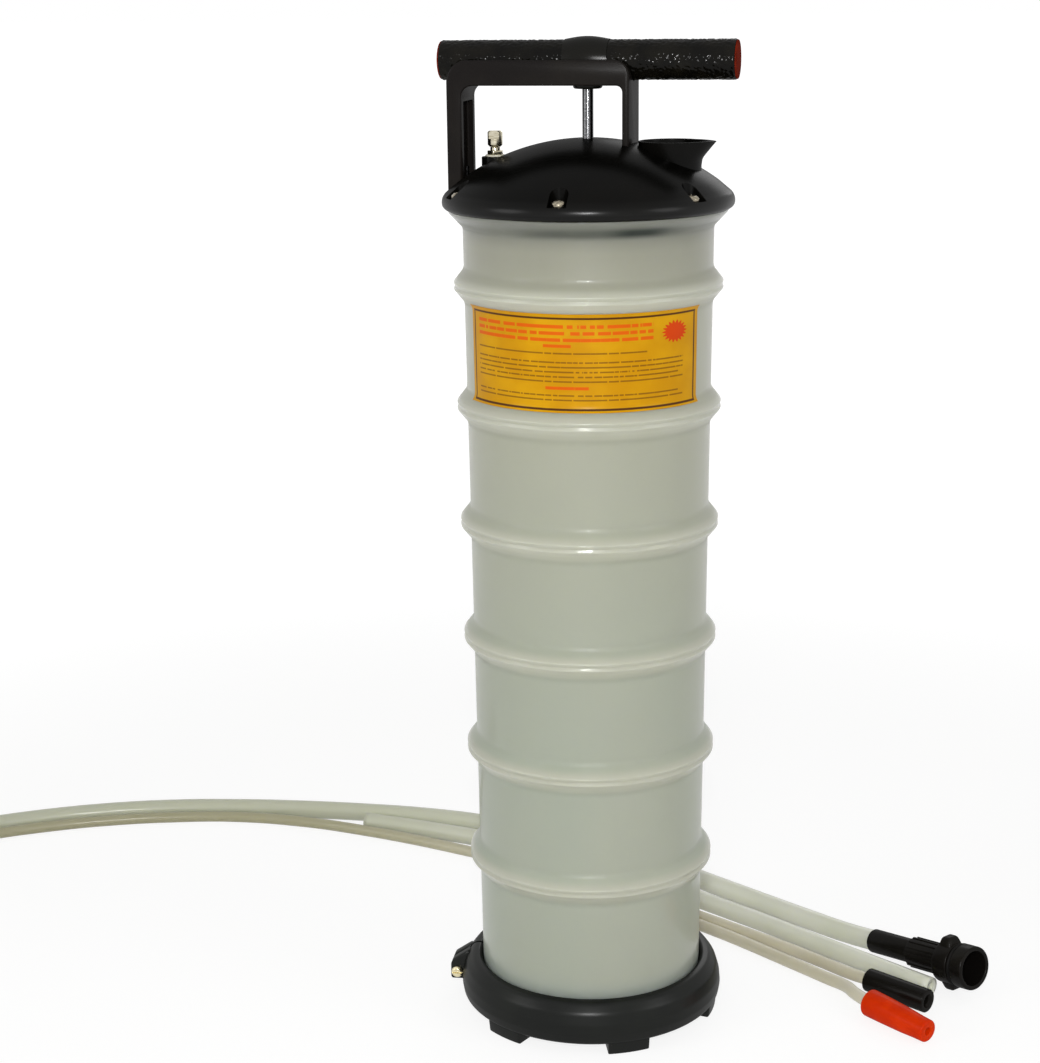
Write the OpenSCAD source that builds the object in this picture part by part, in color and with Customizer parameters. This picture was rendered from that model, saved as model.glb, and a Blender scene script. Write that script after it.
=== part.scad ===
// Hand vacuum fluid extractor: a ribbed translucent tank on a foot ring, closed by a domed lid that
// carries a pour spout, a vent valve, a carry handle and a T-handle pump. Loose hoses lie beside it.
// The axis of the tank is Z, the floor is Z = 0, and the front of the tank faces -Y.

/* [Tank] */
// Height of the tank, from its underside to the top of its flange
tank_h = 489; // [460:1:560]
// Barrel radius at the flange
barrel_top_r = 73.5; // [70:0.5:82]
// Barrel radius at the underside
barrel_foot_r = 68.2; // [64:0.1:78]
// Wall thickness of the tank
tank_wall = 2.5; // [1.5:0.1:4]
// Rounding of the bottom edge of the tank
tank_bottom_round = 6; // [3:0.5:10]
// Number of stiffening ribs
rib_count = 6; // [3:1:6]
// Spacing of the ribs
rib_pitch = 71; // [60:1:74]
// Distance from the top of the flange down to the middle of the top rib
rib_drop = 44; // [30:1:50]
// How far a rib stands out from the barrel
rib_out = 6; // [3:0.5:8]
// Half the height of a rib where it leaves the barrel
rib_half = 7; // [5:0.5:9]
// Half the height of the rounded crest of a rib
rib_crest = 2; // [1:0.5:3]
// How far the top flange stands out from the barrel
flange_out = 8.5; // [7.5:0.5:12]
// Thickness of the top flange
flange_t = 1.8; // [1.2:0.2:4]
// Height of the cone under the flange
flare_h = 13; // [12:0.5:16]

/* [Label] */
// Height of the label
label_h = 56; // [30:1:56]
// Thickness of the label
label_t = 0.25; // [0.1:0.05:0.5]
// Where the label starts, in degrees from the front towards the left
label_left = 66; // [30:1:80]
// Where the label ends, in degrees from the front towards the right
label_right = 58; // [30:1:80]

/* [Foot ring] */
// Height of the feet
foot_h = 6.5; // [5:0.5:14]
// Number of feet
foot_count = 6; // [3:1:8]
// Width of a foot, in degrees
foot_angle = 19; // [10:1:30]
// Direction of the first foot, in degrees from the front towards the right
foot_turn = 17; // [0:1:59]
// Thickness of the ledge that the tank stands on
ledge_t = 6.5; // [2:0.5:8]
// Width of the ledge under the tank
ledge_w = 14; // [8:1:20]
// Height of the ring above its ledge
ring_h = 19; // [12:1:30]
// How far the ring stands out past the flange of the tank
ring_out = -0.3; // [-4:0.1:4]
// Direction of the clamp lug, in degrees from the right, seen from above
lug_turn = 173; // [100:1:190]
// How far the clamp lug stands out from the ring
lug_out = 8; // [6.5:0.5:12]
// Width of the clamp lug along the ring
lug_w = 16; // [12:1:24]
// Width of the slit in the clamp lug
lug_slit = 2; // [1:0.5:3]
// Diameter of the clamp screw
clamp_screw_d = 4; // [3:0.5:5]

/* [Lid] */
// How far the lid reaches past the flange
lid_overhang = 3; // [1:0.5:5]
// Height of the straight rim of the lid
rim_h = 8; // [6:0.5:10]
// Height of the dome above the top of the tank
dome_rise = 40; // [36:1:50]
// Wall thickness of the dome
lid_wall = 3.5; // [2.5:0.5:5]
// Depth of the spigot that locates the lid in the tank
spigot_h = 10; // [6:1:16]
// Wall thickness of the spigot
spigot_t = 3; // [2:0.5:4]
// Turn of the lid about the tank, in degrees
lid_turn = -12; // [-30:1:30]
// Number of lid screws
screw_count = 6; // [3:1:6]
// Diameter of the lid screws
screw_d = 4; // [3:0.5:4.5]
// Diameter of a lid screw's head
screw_head_d = 8; // [6:0.5:8]
// Length of a lid screw under its head
screw_l = 12; // [11:0.5:13]
// Radius of the pocket round a lid screw's head
pocket_r = 5.8; // [5:0.2:6.4]
// Height of the lid gasket
gasket_h = 2; // [1:0.5:3]
// Width of the lid gasket
gasket_w = 2; // [1:0.5:2]

/* [Spout] */
// Distance of the spout from the axis of the tank
spout_at = 49; // [48:0.5:50]
// Radius of the bore that the hose connector plugs into
spout_bore_r = 14.2; // [12:0.1:14.5]
// Wall thickness of the spout
spout_wall = 3; // [2:0.5:3]
// How much wider the spout is at its rim
spout_flare = 2; // [0.5:0.5:4]
// Depth of the spout's neck, from its rim
spout_h = 30; // [26:1:34]
// How far the rim of the spout lies below the top of the dome
spout_drop = 1.5; // [0:0.5:4]
// How far the pouring lip reaches from the middle of the spout
lip_reach = 26; // [22:0.5:30]
// Height of the pouring lip
lip_h = 10; // [6:0.5:12]

/* [Carry handle] */
// How far the outer leg stands in from the edge of the lid
handle_inset = 4.8; // [4:0.2:8]
// Thickness of the outer leg
leg_outer_t = 8.8; // [7:0.2:10]
// Distance from the pump rod to the inner face of the inner leg
leg_inner_at = 23; // [20:0.5:26]
// Thickness of the inner leg
leg_inner_t = 4; // [3:0.5:5]
// Depth of the handle from front to back
handle_depth = 32; // [32:1:38]
// Height of the bar under the middle of the T-handle
bar_drop = 14; // [13.5:0.5:18]

/* [Pump] */
// Stroke of the pump
stroke = 320; // [200:5:330]
// Diameter of the pump rod
rod_d = 6.5; // [6:0.5:9]
// Outer diameter of the pump cylinder
cyl_d = 50; // [46:1:52]
// Wall thickness of the pump cylinder
cyl_wall = 2.5; // [2:0.5:3.5]
// Height of the piston
piston_h = 10; // [6:1:16]
// Lift of the intake valve
valve_lift = 2; // [1:0.5:3]
// Outer diameter of the air tube in the tank
snorkel_d = 10; // [8:0.5:11]
// Diameter of the float ball
ball_d = 16; // [12:1:18]
// Travel of the float ball
ball_travel = 13; // [6:1:16]

/* [T-handle] */
// Height of the middle of the T-handle above the dome
handle_rise = 44; // [40:1:60]
// Length of the T-handle's tube
grip_l = 172; // [140:1:220]
// Outer diameter of the T-handle's tube
grip_d = 23; // [20:0.5:23]
// Wall thickness of the T-handle's tube
grip_wall = 3; // [2:0.5:4]
// Wall thickness of the hub round the tube
hub_wall = 1.8; // [1.2:0.2:2]
// Length of the hub along the tube
hub_l = 26; // [22:1:30]
// Diameter of the hub's boss round the rod
boss_d = 17; // [15:0.5:21]
// Thickness of the flange of an end plug
plug_t = 1.2; // [0.8:0.2:5]

/* [Vent valve] */
// Distance of the vent valve from the outer leg of the carry handle
vent_at = 16; // [13.4:0.1:17]
// Diameter of the vent knob
knob_d = 8.8; // [8:0.2:13]
// Height of the vent knob
knob_h = 9.2; // [7:0.2:12]
// Diameter of the vent valve's thread
vent_thread_d = 6; // [5:0.5:9]

/* [Hoses] */
// Outer diameter of the suction hose
suction_d = 13.6; // [13:0.1:13.8]
// Outer diameter of the wide tube
wide_d = 12.6; // [10:0.1:12.6]
// Outer diameter of the slim tubes
slim_d = 8; // [7:0.1:8]
// Radius of the connector's plug, which fits the bore of the spout
plug_r = 14; // [11:0.1:14]
// Length of the connector's plug
plug_l = 13; // [10:0.5:16]
// Length of the black adapter sleeve
adapter_l = 45; // [40:1:60]
// Length of the red nozzle
nozzle_l = 48; // [44:1:60]

/* [Hidden] */
$fn = 96;

// Clearances: pieces that are fixed to each other, a bonded film, a running fit and a free gap, and the
// overrun of a cut
fixed_gap = 0.05;
film_gap = 0.12;
running_gap = 0.05;
free_gap = 0.4;
past = 1;

// Levels of the tank and the lid
tank_z = foot_h + ledge_t;
top_z = tank_z + tank_h;
apex_z = top_z + dome_rise;
flange_r = barrel_top_r + flange_out;
lid_r = flange_r + lid_overhang;
dome_cap = dome_rise - rim_h;
dome_r = (lid_r * lid_r + dome_cap * dome_cap) / (2 * dome_cap);
screw_out = 3.6;
screw_circle = barrel_top_r + screw_out;
pocket_z = top_z + rim_h;
mouth_r = barrel_top_r - tank_wall;
spigot_r = mouth_r - free_gap;
cavity_r = spigot_r - spigot_t;

// Levels of the pump, worked down from the dome
rod_r = rod_d / 2;
cyl_r = cyl_d / 2;
bore_r = cyl_r - cyl_wall;
bush_wall = 4;
bush_r = rod_r + bush_wall;
bush_l = 13;
bush_flange_t = 2;
bush_flange_out = 3;
bush_sunk = 0.3;
wiper_h = 4;
wiper_w = 2.2;
collar_l = 28;
collar_wall = 4;
nut_h = 6.5;
jam_nut_h = 4;
nut_across = 11;
cup_base = 2;
cup_lip = 5;
washer_t = 2;
valve_t = 2;
end_room = 2;
head_room = 8;
stack_h = nut_h + piston_h + cup_base + washer_t + jam_nut_h;
cyl_top = apex_z - bush_l - bush_flange_t - past;
cyl_l = valve_t + valve_lift + end_room + stack_h + stroke + head_room;
cyl_z = cyl_top - cyl_l;
piston_z = cyl_z + valve_t + valve_lift + end_room;
rod_foot = 1.5;

// Intake under the cylinder and the float shut-off near the top of the tank
plate_t = 5;
chamber_h = 8;
chamber_r = 11;
cap_wall = 4;
cap_lap = 14;
cap_floor = 3;
snorkel_r = snorkel_d / 2;
snorkel_at = cyl_r + cap_wall + snorkel_r;
socket_wall = 3;
snorkel_wall = 1.5;
cage_lap = 2;
ball_rest = 0.3;
ball_r = ball_d / 2;
ball_gap = 1;
cage_wall = 2.5;
cage_bore_r = ball_r + ball_gap;
cage_r = cage_bore_r + cage_wall;
cage_at = snorkel_at + snorkel_r + socket_wall + cage_r - cage_lap;
cage_roof = 8;
cage_below = 8;
cage_bar = 3;
seat_r = ball_r / 2;
cage_top = top_z - spigot_h - cage_below;
seat_z = cage_top - cage_roof;
ball_top_z = seat_z - sqrt(ball_r * ball_r - seat_r * seat_r) - ball_rest;
ball_z = ball_top_z - ball_travel;
cage_z = ball_z - ball_r - ball_rest - cage_bar;

// The T-handle and the carry handle round it
grip_r = grip_d / 2;
grip_z = apex_z + handle_rise;
hub_r = grip_r + hub_wall;
boss_r = boss_d / 2;
hub_end_wall = 0.6;
boss_drop = 16.2;
pin_drop = 13.6;
pin_r = 1.5;
bar_z = grip_z - bar_drop;
bar_above = 0.4;
bar_top = grip_z + bar_above;
arch_left = -(lid_r - handle_inset);
arch_right = leg_inner_at + leg_inner_t;
arch_round_left = 12;
arch_round_right = 9;
window_round_left = 6;
window_round_right = 3.5;
handle_screw_d = 3;
handle_screw_head_t = 2.4;
handle_screw_seat = 0.5;
handle_screw_l = 22;
handle_screw_at = arch_left + leg_outer_t / 2;
handle_screw_side = 11;

// Spout and vent valve on the lid
spout_z = apex_z - spout_drop;
neck_r = spout_bore_r + spout_wall;
vent_s = lid_r - handle_inset - leg_outer_t - vent_at;
vent_proud = 1.4;
vent_z = dome_z(vent_s) + vent_proud;
vent_boss_h = 12;
vent_stem_l = 10;
vent_air_r = 1.2;
vent_neck_r = 2.9;
vent_hex_wall = 1.8;
knob_gap = 0.1;
vent_boss_r = 8;
vent_washer_lap = 1;
vent_washer_t = 1.2;
vent_hex_h = 2.4;
vent_neck_h = 2;
vent_pin_r = 1.6;
knob_z = vent_z + vent_washer_t + vent_hex_h + vent_neck_h + knob_gap;

// Foot ring
ring_z = foot_h;
ring_top = tank_z + ring_h;
ring_r = flange_r + ring_out;
ledge_r = barrel_foot_r - ledge_w;
foot_in = 3;
foot_edge = 0.3;
waist_h = 6;
ring_waist = ring_z + waist_h;
lug_screw_out = 3.6;
lug_screw_at = ring_r + lug_screw_out;
lug_screw_up = 9;
lug_screw_z = ring_z + lug_screw_up;
lug_lift = 3.5;
lug_z = ring_z + lug_lift;
lug_drop = 2;
lug_top = ring_top - lug_drop;
lug_in = 4;
clamp_screw_r = clamp_screw_d / 2;

// Ends of the loose hoses: where each fitting starts, with its turn and its tilt
connector_at = [188.7, 62, 9.1];
connector_turn = -50.5;
connector_tilt = 8;
adapter_at = [177.6, 8.2, 7.6];
adapter_turn = -42;
nozzle_at = [173.6, -25.5, 8.9];
nozzle_turn = -49;
nozzle_tilt = -1.5;
sleeve_l = 34;
sleeve_wall = 0.8;
sleeve_gap = 0.2;
sleeve_r = suction_d / 2 + sleeve_gap + sleeve_wall;
tail_z = 12;
tail_gap = 0.1;
connector_grip_l = 27;
connector_grip_r = 9.4;
connector_ribs = 14;
connector_flange_l = 12;
connector_bore_r = 4;
lug_reach = 3.6;
lug_half = 6;
groove_w = 4;
groove_depth = 2.2;
seal_r = 1.05;
socket_l = 20;
adapter_wall = 3.3;
adapter_r = slim_d / 2 + sleeve_gap + adapter_wall;
nozzle_wall = 4.5;
nozzle_r = slim_d / 2 + sleeve_gap + nozzle_wall;
tip_l = 20;

// Routes of the loose hoses along the floor, from the fitting to the bare end
suction_route = [
    [193.9, 55.7, 10.2], [188.7, 62, 9.1], [171, 79, 7.3], [151, 97.5, 7], [130, 117, 7], [95, 150, 7],
    [57, 185.5, 7], [15, 218, 7], [-30, 246, 7], [-78, 269, 7], [-126, 284, 7], [-175, 293, 7],
    [-225, 299, 7], [-275, 302, 7], [-325, 301, 7], [-374, 294, 7], [-422, 281, 7], [-468, 262, 7],
    [-511, 236, 7], [-548, 202, 7], [-575, 160, 7]
];
wide_route = [
    [216.5, 0, 6.4], [193.5, 21.8, 6.4], [169, 45.2, 6.4], [144.5, 69, 6.4], [119, 94, 6.4],
    [93, 118, 6.4], [66, 142, 6.4], [38, 165.5, 6.4], [8, 188.5, 6.4], [-23, 209.5, 6.4],
    [-55, 228.5, 6.4], [-85, 243.5, 6.4], [-115, 256, 6.4], [-144, 267, 6.4], [-172, 276.5, 6.4]
];
slim_route = [
    [183.5, 2.8, 7.6], [177.6, 8.2, 7.6], [166, 21.5, 5.9], [150, 41.5, 4.3], [130, 61.5, 4.1],
    [101, 87.5, 4.1], [70, 114.5, 4.1], [34, 145, 4.1], [-6, 174.5, 4.1], [-48, 200, 4.1],
    [-90, 223, 4.1], [-132, 245, 4.1], [-176, 264.5, 4.1], [-218, 279.5, 4.1], [-275, 290.3, 4.1],
    [-324, 289.3, 4.1], [-372, 282.5, 4.1], [-418, 269.9, 4.1], [-463, 251.6, 4.1], [-504, 226.6, 4.1],
    [-539, 194.5, 4.1], [-565, 153.7, 4.1]
];
short_route = [
    [178.8, -31.5, 8.7], [173.6, -25.5, 8.9], [167.3, -13, 7.9], [162.5, 2.5, 5.8], [153, 15.5, 4.4],
    [141.5, 28.5, 4.1], [124, 47, 4.1], [106, 66, 4.1], [87, 85, 4.1], [68, 102, 4.1], [48, 118.5, 4.1],
    [27, 135, 4.1], [5, 151, 4.1], [-16, 164.5, 4.1], [-34, 175, 4.1], [-50, 183.5, 4.1]
];
hose_sides = 10;

// Height of the dome's surface at a distance from the axis
function dome_z(r) = apex_z - dome_r + sqrt(dome_r * dome_r - r * r);

// Radius of the tapered barrel at a height
function barrel_r(z) = barrel_foot_r + (barrel_top_r - barrel_foot_r) * (z - tank_z) / tank_h;

// Height of the middle of a rib, counted from the bottom
function rib_z(i) = top_z - rib_drop - (rib_count - 1 - i) * rib_pitch;

// Outline of one rib: a rounded crest with flanks that run out smoothly into the barrel
function rib_rise(u) =
    let (c = rib_crest / rib_half)
    u < c ? rib_out * (1 - 0.06 * u * u / (c * c)) : rib_out * 0.47 * (1 + cos(180 * (u - c) / (1 - c)));
function rib_points(i, steps, inset) = [
    for (k = [-steps : steps])
        let (z = rib_z(i) + rib_half * k / steps)
        [barrel_r(z) + rib_rise(abs(k) / steps) - inset, z]
];

// Points of an arc in a section, from angle a to angle b
function arc_points(cx, cz, rx, rz, a, b, steps) = [
    for (k = [0 : steps])
        let (t = a + (b - a) * k / steps)
        [cx + rx * cos(t), cz + rz * sin(t)]
];

// Sweep of a hose along its route
function unit(v) = v / norm(v);
function heading(p, i) = unit(p[min(i + 1, len(p) - 1)] - p[max(i - 1, 0)]);
function hose_ring(p, i, r) =
    let (t = heading(p, i), s = unit(cross(t, [0, 0, 1])), u = cross(s, t))
    [for (k = [0 : hose_sides - 1])
        let (a = 360 * (k + 0.5) / hose_sides)
        p[i] + r * (cos(a) * s + sin(a) * u)];
function flat(rows) = [for (row = rows) for (item = row) item];

module hose(p, r) {
    n = hose_sides;
    last = (len(p) - 1) * n;
    rings = flat([for (i = [0 : len(p) - 1]) hose_ring(p, i, r)]);
    walls = [
        for (i = [0 : len(p) - 2], k = [0 : n - 1], half = [0, 1])
            let (a = i * n + k, b = i * n + (k + 1) % n)
            half == 0 ? [a, b, b + n] : [a, b + n, a + n]
    ];
    start_cap = [for (k = [n - 1 : -1 : 0]) k];
    end_cap = [for (k = [0 : n - 1]) last + k];
    polyhedron(points = rings, faces = concat([start_cap], walls, [end_cap]), convexity = 10);
}

// Places its children in the turned frame of the lid
module on_lid() {
    rotate([0, 0, lid_turn]) children();
}

// Places its children at each lid screw
module at_screws() {
    for (i = [0 : screw_count - 1])
        on_lid() rotate([0, 0, 30 + 360 * i / screw_count]) translate([screw_circle, 0, 0]) children();
}

// A cylinder that lies along X, centred
module lying(r, l) {
    rotate([0, 90, 0]) cylinder(r = r, h = l, center = true);
}

// Tank: one wall that follows the barrel and its ribs, closed below, with a drilled flange
module tank() {
    bottom = arc_points(barrel_foot_r - tank_bottom_round, tank_z + tank_bottom_round,
        tank_bottom_round, tank_bottom_round, -90, 0, 5);
    ribs = flat([for (i = [0 : rib_count - 1]) rib_points(i, 7, 0)]);
    flare_z = top_z - flange_t - flare_h;
    flare = [[barrel_r(flare_z), flare_z], [flange_r, top_z - flange_t]];
    inner_ribs = flat([for (i = [rib_count - 1 : -1 : 0])
        let (p = rib_points(i, 4, tank_wall)) [for (k = [len(p) - 1 : -1 : 0]) p[k]]]);
    inner_r = barrel_foot_r - tank_wall;
    color([0.80, 0.82, 0.74, 0.85]) difference() {
        rotate_extrude() polygon(concat(
            [[0, tank_z]], bottom, ribs, flare, [[flange_r, top_z], [mouth_r, top_z]],
            inner_ribs, [[inner_r, tank_z + tank_bottom_round], [inner_r - tank_bottom_round + tank_wall,
            tank_z + tank_wall], [0, tank_z + tank_wall]]));
        at_screws() translate([0, 0, pocket_z - screw_l - fixed_gap])
            cylinder(r = screw_d / 2 + fixed_gap, h = screw_l + past, $fn = 32);
    }
}

// Label: a printed sheet round the front of the barrel, between the two top ribs
module tank_label() {
    margin = 0.4;
    low = rib_z(rib_count - 2) + rib_half + margin;
    high = low + label_h;
    color([0.88, 0.64, 0.08]) rotate([0, 0, -90 - label_left])
        rotate_extrude(angle = label_left + label_right)
            polygon([
                [barrel_r(low) + film_gap, low], [barrel_r(low) + film_gap + label_t, low],
                [barrel_r(high) + film_gap + label_t, high], [barrel_r(high) + film_gap, high]
            ]);
}

// Foot ring: a bulging split ring with a ledge under the tank, feet below, and a clamp lug at its slit
module base_ring() {
    seat_low = barrel_foot_r + fixed_gap;
    seat_top = barrel_r(ring_top) + fixed_gap;
    rim_w = 0.8;
    chamfer_w = 3;
    chamfer_h = 2.4;
    crest_r = seat_top + rim_w;
    bulge = arc_points(crest_r, ring_waist, ring_r - crest_r, ring_top - ring_waist, 0, 90, 8);
    color([0.11, 0.11, 0.10]) difference() {
        union() {
            rotate_extrude() polygon(concat(
                [[ledge_r, ring_z], [ring_r - chamfer_w, ring_z], [ring_r - rim_w, ring_z + chamfer_h]],
                bulge,
                [[seat_top, ring_top], [seat_low, tank_z - fixed_gap], [ledge_r, tank_z - fixed_gap]]));
            for (i = [0 : foot_count - 1])
                rotate([0, 0, -90 + foot_turn - foot_angle / 2 + 360 * i / foot_count])
                    rotate_extrude(angle = foot_angle)
                        translate([ledge_r + foot_in, 0])
                            square([ring_r - foot_edge - ledge_r - foot_in, foot_h + ledge_t / 2]);
            rotate([0, 0, lug_turn]) translate([ring_r - lug_in, -lug_w / 2, lug_z])
                cube([lug_out + lug_in, lug_w, lug_top - lug_z]);
        }
        rotate([0, 0, lug_turn]) {
            translate([ledge_r - past, -lug_slit / 2, -past])
                cube([ring_r - ledge_r + lug_out + 2 * past, lug_slit, ring_top + 2 * past]);
            translate([lug_screw_at, 0, lug_screw_z]) rotate([90, 0, 0])
                cylinder(r = clamp_screw_r + fixed_gap, h = lug_w + 2 * past, center = true, $fn = 32);
        }
    }
}

// Clamp screw and nut that draw the slit of the foot ring together
module ring_clamp_screw() {
    head_r = clamp_screw_r + 1.6;
    head_t = 2.6;
    nut_t = 3;
    color([0.72, 0.62, 0.36]) rotate([0, 0, lug_turn]) translate([lug_screw_at, 0, lug_screw_z]) {
        difference() {
            rotate([90, 0, 0]) union() {
                translate([0, 0, -lug_w / 2 - head_t - fixed_gap])
                    cylinder(r1 = head_r - 0.6, r2 = head_r, h = head_t, $fn = 32);
                translate([0, 0, -lug_w / 2 - fixed_gap])
                    cylinder(r = clamp_screw_r, h = lug_w + nut_t + 1, $fn = 32);
            }
            translate([0, lug_w / 2 + head_t, 0]) cube([2 * head_r, 2.2, 0.9], center = true);
        }
        rotate([90, 0, 0]) translate([0, 0, lug_w / 2 + fixed_gap]) difference() {
            cylinder(r = clamp_screw_r + 1.7, h = nut_t, $fn = 6);
            translate([0, 0, -past])
                cylinder(r = clamp_screw_r + fixed_gap, h = nut_t + 2 * past, $fn = 32);
        }
    }
}

// Pouring lip of the spout: a wedge drawn out to a point, and the same wedge inset for its hollow
module lip_wedge(reach, half_w, drop, lift) {
    hull() {
        translate([0, 0, spout_z - 0.6 + lift]) linear_extrude(0.6)
            polygon([[4, -half_w], [9, -half_w], [reach, -0.6], [reach, 0.6], [9, half_w], [4, half_w]]);
        translate([0, 0, spout_z - drop]) linear_extrude(0.6)
            polygon([[4, 3 - half_w], [8, 3 - half_w], [neck_r - 2, 0], [8, half_w - 3], [4, half_w - 3]]);
    }
}

// Lid: a domed moulding with a rim, a locating spigot, a spout, a vent boss and a collar for the pump
module lid() {
    rim_r = neck_r + spout_flare;
    funnel_h = 10;
    flare_h0 = 14;
    funnel_z = spout_z - funnel_h;
    rim_wall = 1.8;
    lip_wall = 3;
    lip_cut = 0.7;
    collar_r = cyl_r + fixed_gap + collar_wall;
    gland_r = bush_r + bush_wall;
    head_hole_l = handle_screw_head_t + handle_screw_seat + past;
    color([0.12, 0.12, 0.11]) on_lid() difference() {
        union() {
            intersection() {
                translate([0, 0, apex_z - dome_r]) sphere(r = dome_r, $fn = 180);
                translate([0, 0, top_z]) cylinder(r = lid_r, h = dome_rise + past, $fn = 180);
            }
            translate([0, 0, top_z - spigot_h]) cylinder(r = spigot_r, h = spigot_h + past);
            translate([0, 0, cyl_top - collar_l]) cylinder(r = collar_r, h = collar_l);
            translate([spout_at, 0, spout_z - spout_h])
                cylinder(r = neck_r, h = spout_h - flare_h0 + 2 * past);
            translate([spout_at, 0, spout_z - flare_h0])
                cylinder(r1 = neck_r, r2 = rim_r, h = flare_h0);
            translate([spout_at, 0, 0]) lip_wedge(lip_reach, neck_r - past, lip_h, 0);
            translate([-vent_s, 0, vent_z - vent_boss_h])
                cylinder(r = vent_boss_r, h = vent_boss_h, $fn = 48);
        }
        difference() {
            intersection() {
                translate([0, 0, apex_z - dome_r]) sphere(r = dome_r - lid_wall, $fn = 180);
                translate([0, 0, top_z - spigot_h - past])
                    cylinder(r = cavity_r, h = dome_rise + spigot_h + past);
            }
            translate([0, 0, cyl_top - collar_l]) cylinder(r = collar_r, h = collar_l + dome_rise);
            translate([0, 0, apex_z - bush_l]) cylinder(r = gland_r, h = bush_l);
            translate([spout_at, 0, spout_z - spout_h]) cylinder(r = neck_r, h = spout_h);
            translate([-vent_s, 0, vent_z - vent_boss_h])
                cylinder(r = vent_boss_r, h = vent_boss_h, $fn = 48);
        }
        translate([0, 0, cyl_top - collar_l - past])
            cylinder(r = cyl_r + fixed_gap, h = collar_l + past + fixed_gap);
        translate([0, 0, cyl_top - past])
            cylinder(r = bush_r + bush_flange_out + 0.2, h = bush_flange_t + 2 * past);
        translate([0, 0, cyl_top]) cylinder(r = bush_r + fixed_gap, h = dome_rise);
        translate([spout_at, 0, spout_z - spout_h - past])
            cylinder(r = spout_bore_r, h = spout_h + dome_rise);
        translate([spout_at, 0, funnel_z])
            cylinder(r1 = spout_bore_r, r2 = rim_r - rim_wall, h = funnel_h + 0.01);
        translate([spout_at, 0, 0])
            lip_wedge(lip_reach - lip_wall, neck_r - past - lip_wall, lip_h - lip_wall, lip_cut);
        translate([-vent_s, 0, vent_z]) cylinder(r = vent_boss_r + free_gap, h = dome_rise, $fn = 48);
        translate([-vent_s, 0, vent_z - vent_stem_l - free_gap])
            cylinder(r = vent_thread_d / 2 + fixed_gap, h = vent_stem_l + free_gap + past, $fn = 48);
        translate([-vent_s, 0, vent_z - vent_boss_h - past])
            cylinder(r = vent_air_r, h = vent_boss_h, $fn = 24);
        rotate([0, 0, -lid_turn]) at_screws() translate([0, 0, pocket_z]) {
            cylinder(r = pocket_r, h = dome_rise, $fn = 48);
            translate([0, -pocket_r, 0]) cube([lid_r, 2 * pocket_r, dome_rise]);
            translate([0, 0, -rim_h - past])
                cylinder(r = screw_d / 2 + fixed_gap, h = rim_h + 2 * past, $fn = 32);
        }
        translate([0, 0, top_z - past]) difference() {
            cylinder(r = mouth_r + gasket_w + fixed_gap, h = gasket_h + past);
            translate([0, 0, -past]) cylinder(r = mouth_r - fixed_gap, h = gasket_h + 3 * past);
        }
        for (side = [-1, 1]) translate([handle_screw_at, side * handle_screw_side, 0]) {
            translate([0, 0, top_z - past])
                cylinder(r = handle_screw_d / 2 + fixed_gap, h = dome_rise, $fn = 32);
            translate([0, 0, top_z - past])
                cylinder(r = handle_screw_d + fixed_gap, h = head_hole_l, $fn = 32);
        }
    }
}

// Gasket between the lid and the flange of the tank
module lid_gasket() {
    color([0.2, 0.2, 0.2]) translate([0, 0, top_z]) difference() {
        cylinder(r = mouth_r + gasket_w, h = gasket_h);
        translate([0, 0, -past]) cylinder(r = mouth_r, h = gasket_h + 2 * past);
    }
}

// Pan head screw with a cross recess, its seat at Z = 0
module pan_screw(d, head_d, l) {
    head_t = 2.6;
    difference() {
        union() {
            translate([0, 0, -l]) cylinder(r = d / 2, h = l, $fn = 32);
            cylinder(r1 = head_d / 2, r2 = head_d / 2 - 0.9, h = head_t, $fn = 40);
        }
        for (turn = [0, 90])
            rotate([0, 0, turn]) translate([0, 0, head_t]) cube([head_d * 0.55, 1, 2.4], center = true);
    }
}

// Screws that hold the lid down on the flange
module lid_screws() {
    color([0.76, 0.70, 0.52]) at_screws() translate([0, 0, pocket_z + fixed_gap])
        pan_screw(screw_d, screw_head_d, screw_l - fixed_gap);
}

// A corner block with a quarter round taken out of it
module corner_fill(r, sx, sy) {
    scale([sx, sy]) difference() {
        square([r, r]);
        translate([r, r]) circle(r = r, $fn = 48);
    }
}

// Carry handle: an arch with a half-round cradle along its top, in which the T-handle rests
module carry_handle() {
    low = top_z + rim_h - 6;
    window_left = arch_left + leg_outer_t;
    screw_hole_l = handle_screw_l + handle_screw_seat + past;
    color([0.12, 0.12, 0.11]) on_lid() difference() {
        rotate([90, 0, 0]) linear_extrude(handle_depth, center = true) difference() {
            translate([arch_left, low]) square([arch_right - arch_left, bar_top - low]);
            translate([arch_left - 0.01, bar_top + 0.01]) mirror([0, 1]) corner_fill(arch_round_left, 1, 1);
            translate([arch_right + 0.01, bar_top + 0.01]) rotate(180) corner_fill(arch_round_right, 1, 1);
            difference() {
                translate([window_left, low - past])
                    square([leg_inner_at - window_left, bar_z - low + past]);
                translate([window_left, bar_z]) mirror([0, 1]) corner_fill(window_round_left, 1, 1);
                translate([leg_inner_at, bar_z]) rotate(180) corner_fill(window_round_right, 1, 1);
            }
        }
        translate([0, 0, apex_z - dome_r]) sphere(r = dome_r + fixed_gap, $fn = 180);
        translate([0, 0, grip_z]) lying(grip_r + free_gap, 3 * lid_r);
        translate([0, 0, grip_z]) lying(hub_r + free_gap, hub_l + 2 * free_gap);
        translate([0, 0, grip_z - boss_drop - past]) cylinder(r = boss_r + free_gap, h = boss_drop);
        translate([-hub_l / 2 - free_gap, -6, bar_z - past]) cube([hub_l + 2 * free_gap, 12, bar_drop]);
        for (side = [-1, 1]) translate([handle_screw_at, side * handle_screw_side, top_z])
            cylinder(r = handle_screw_d / 2 + fixed_gap, h = screw_hole_l, $fn = 32);
    }
}

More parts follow.
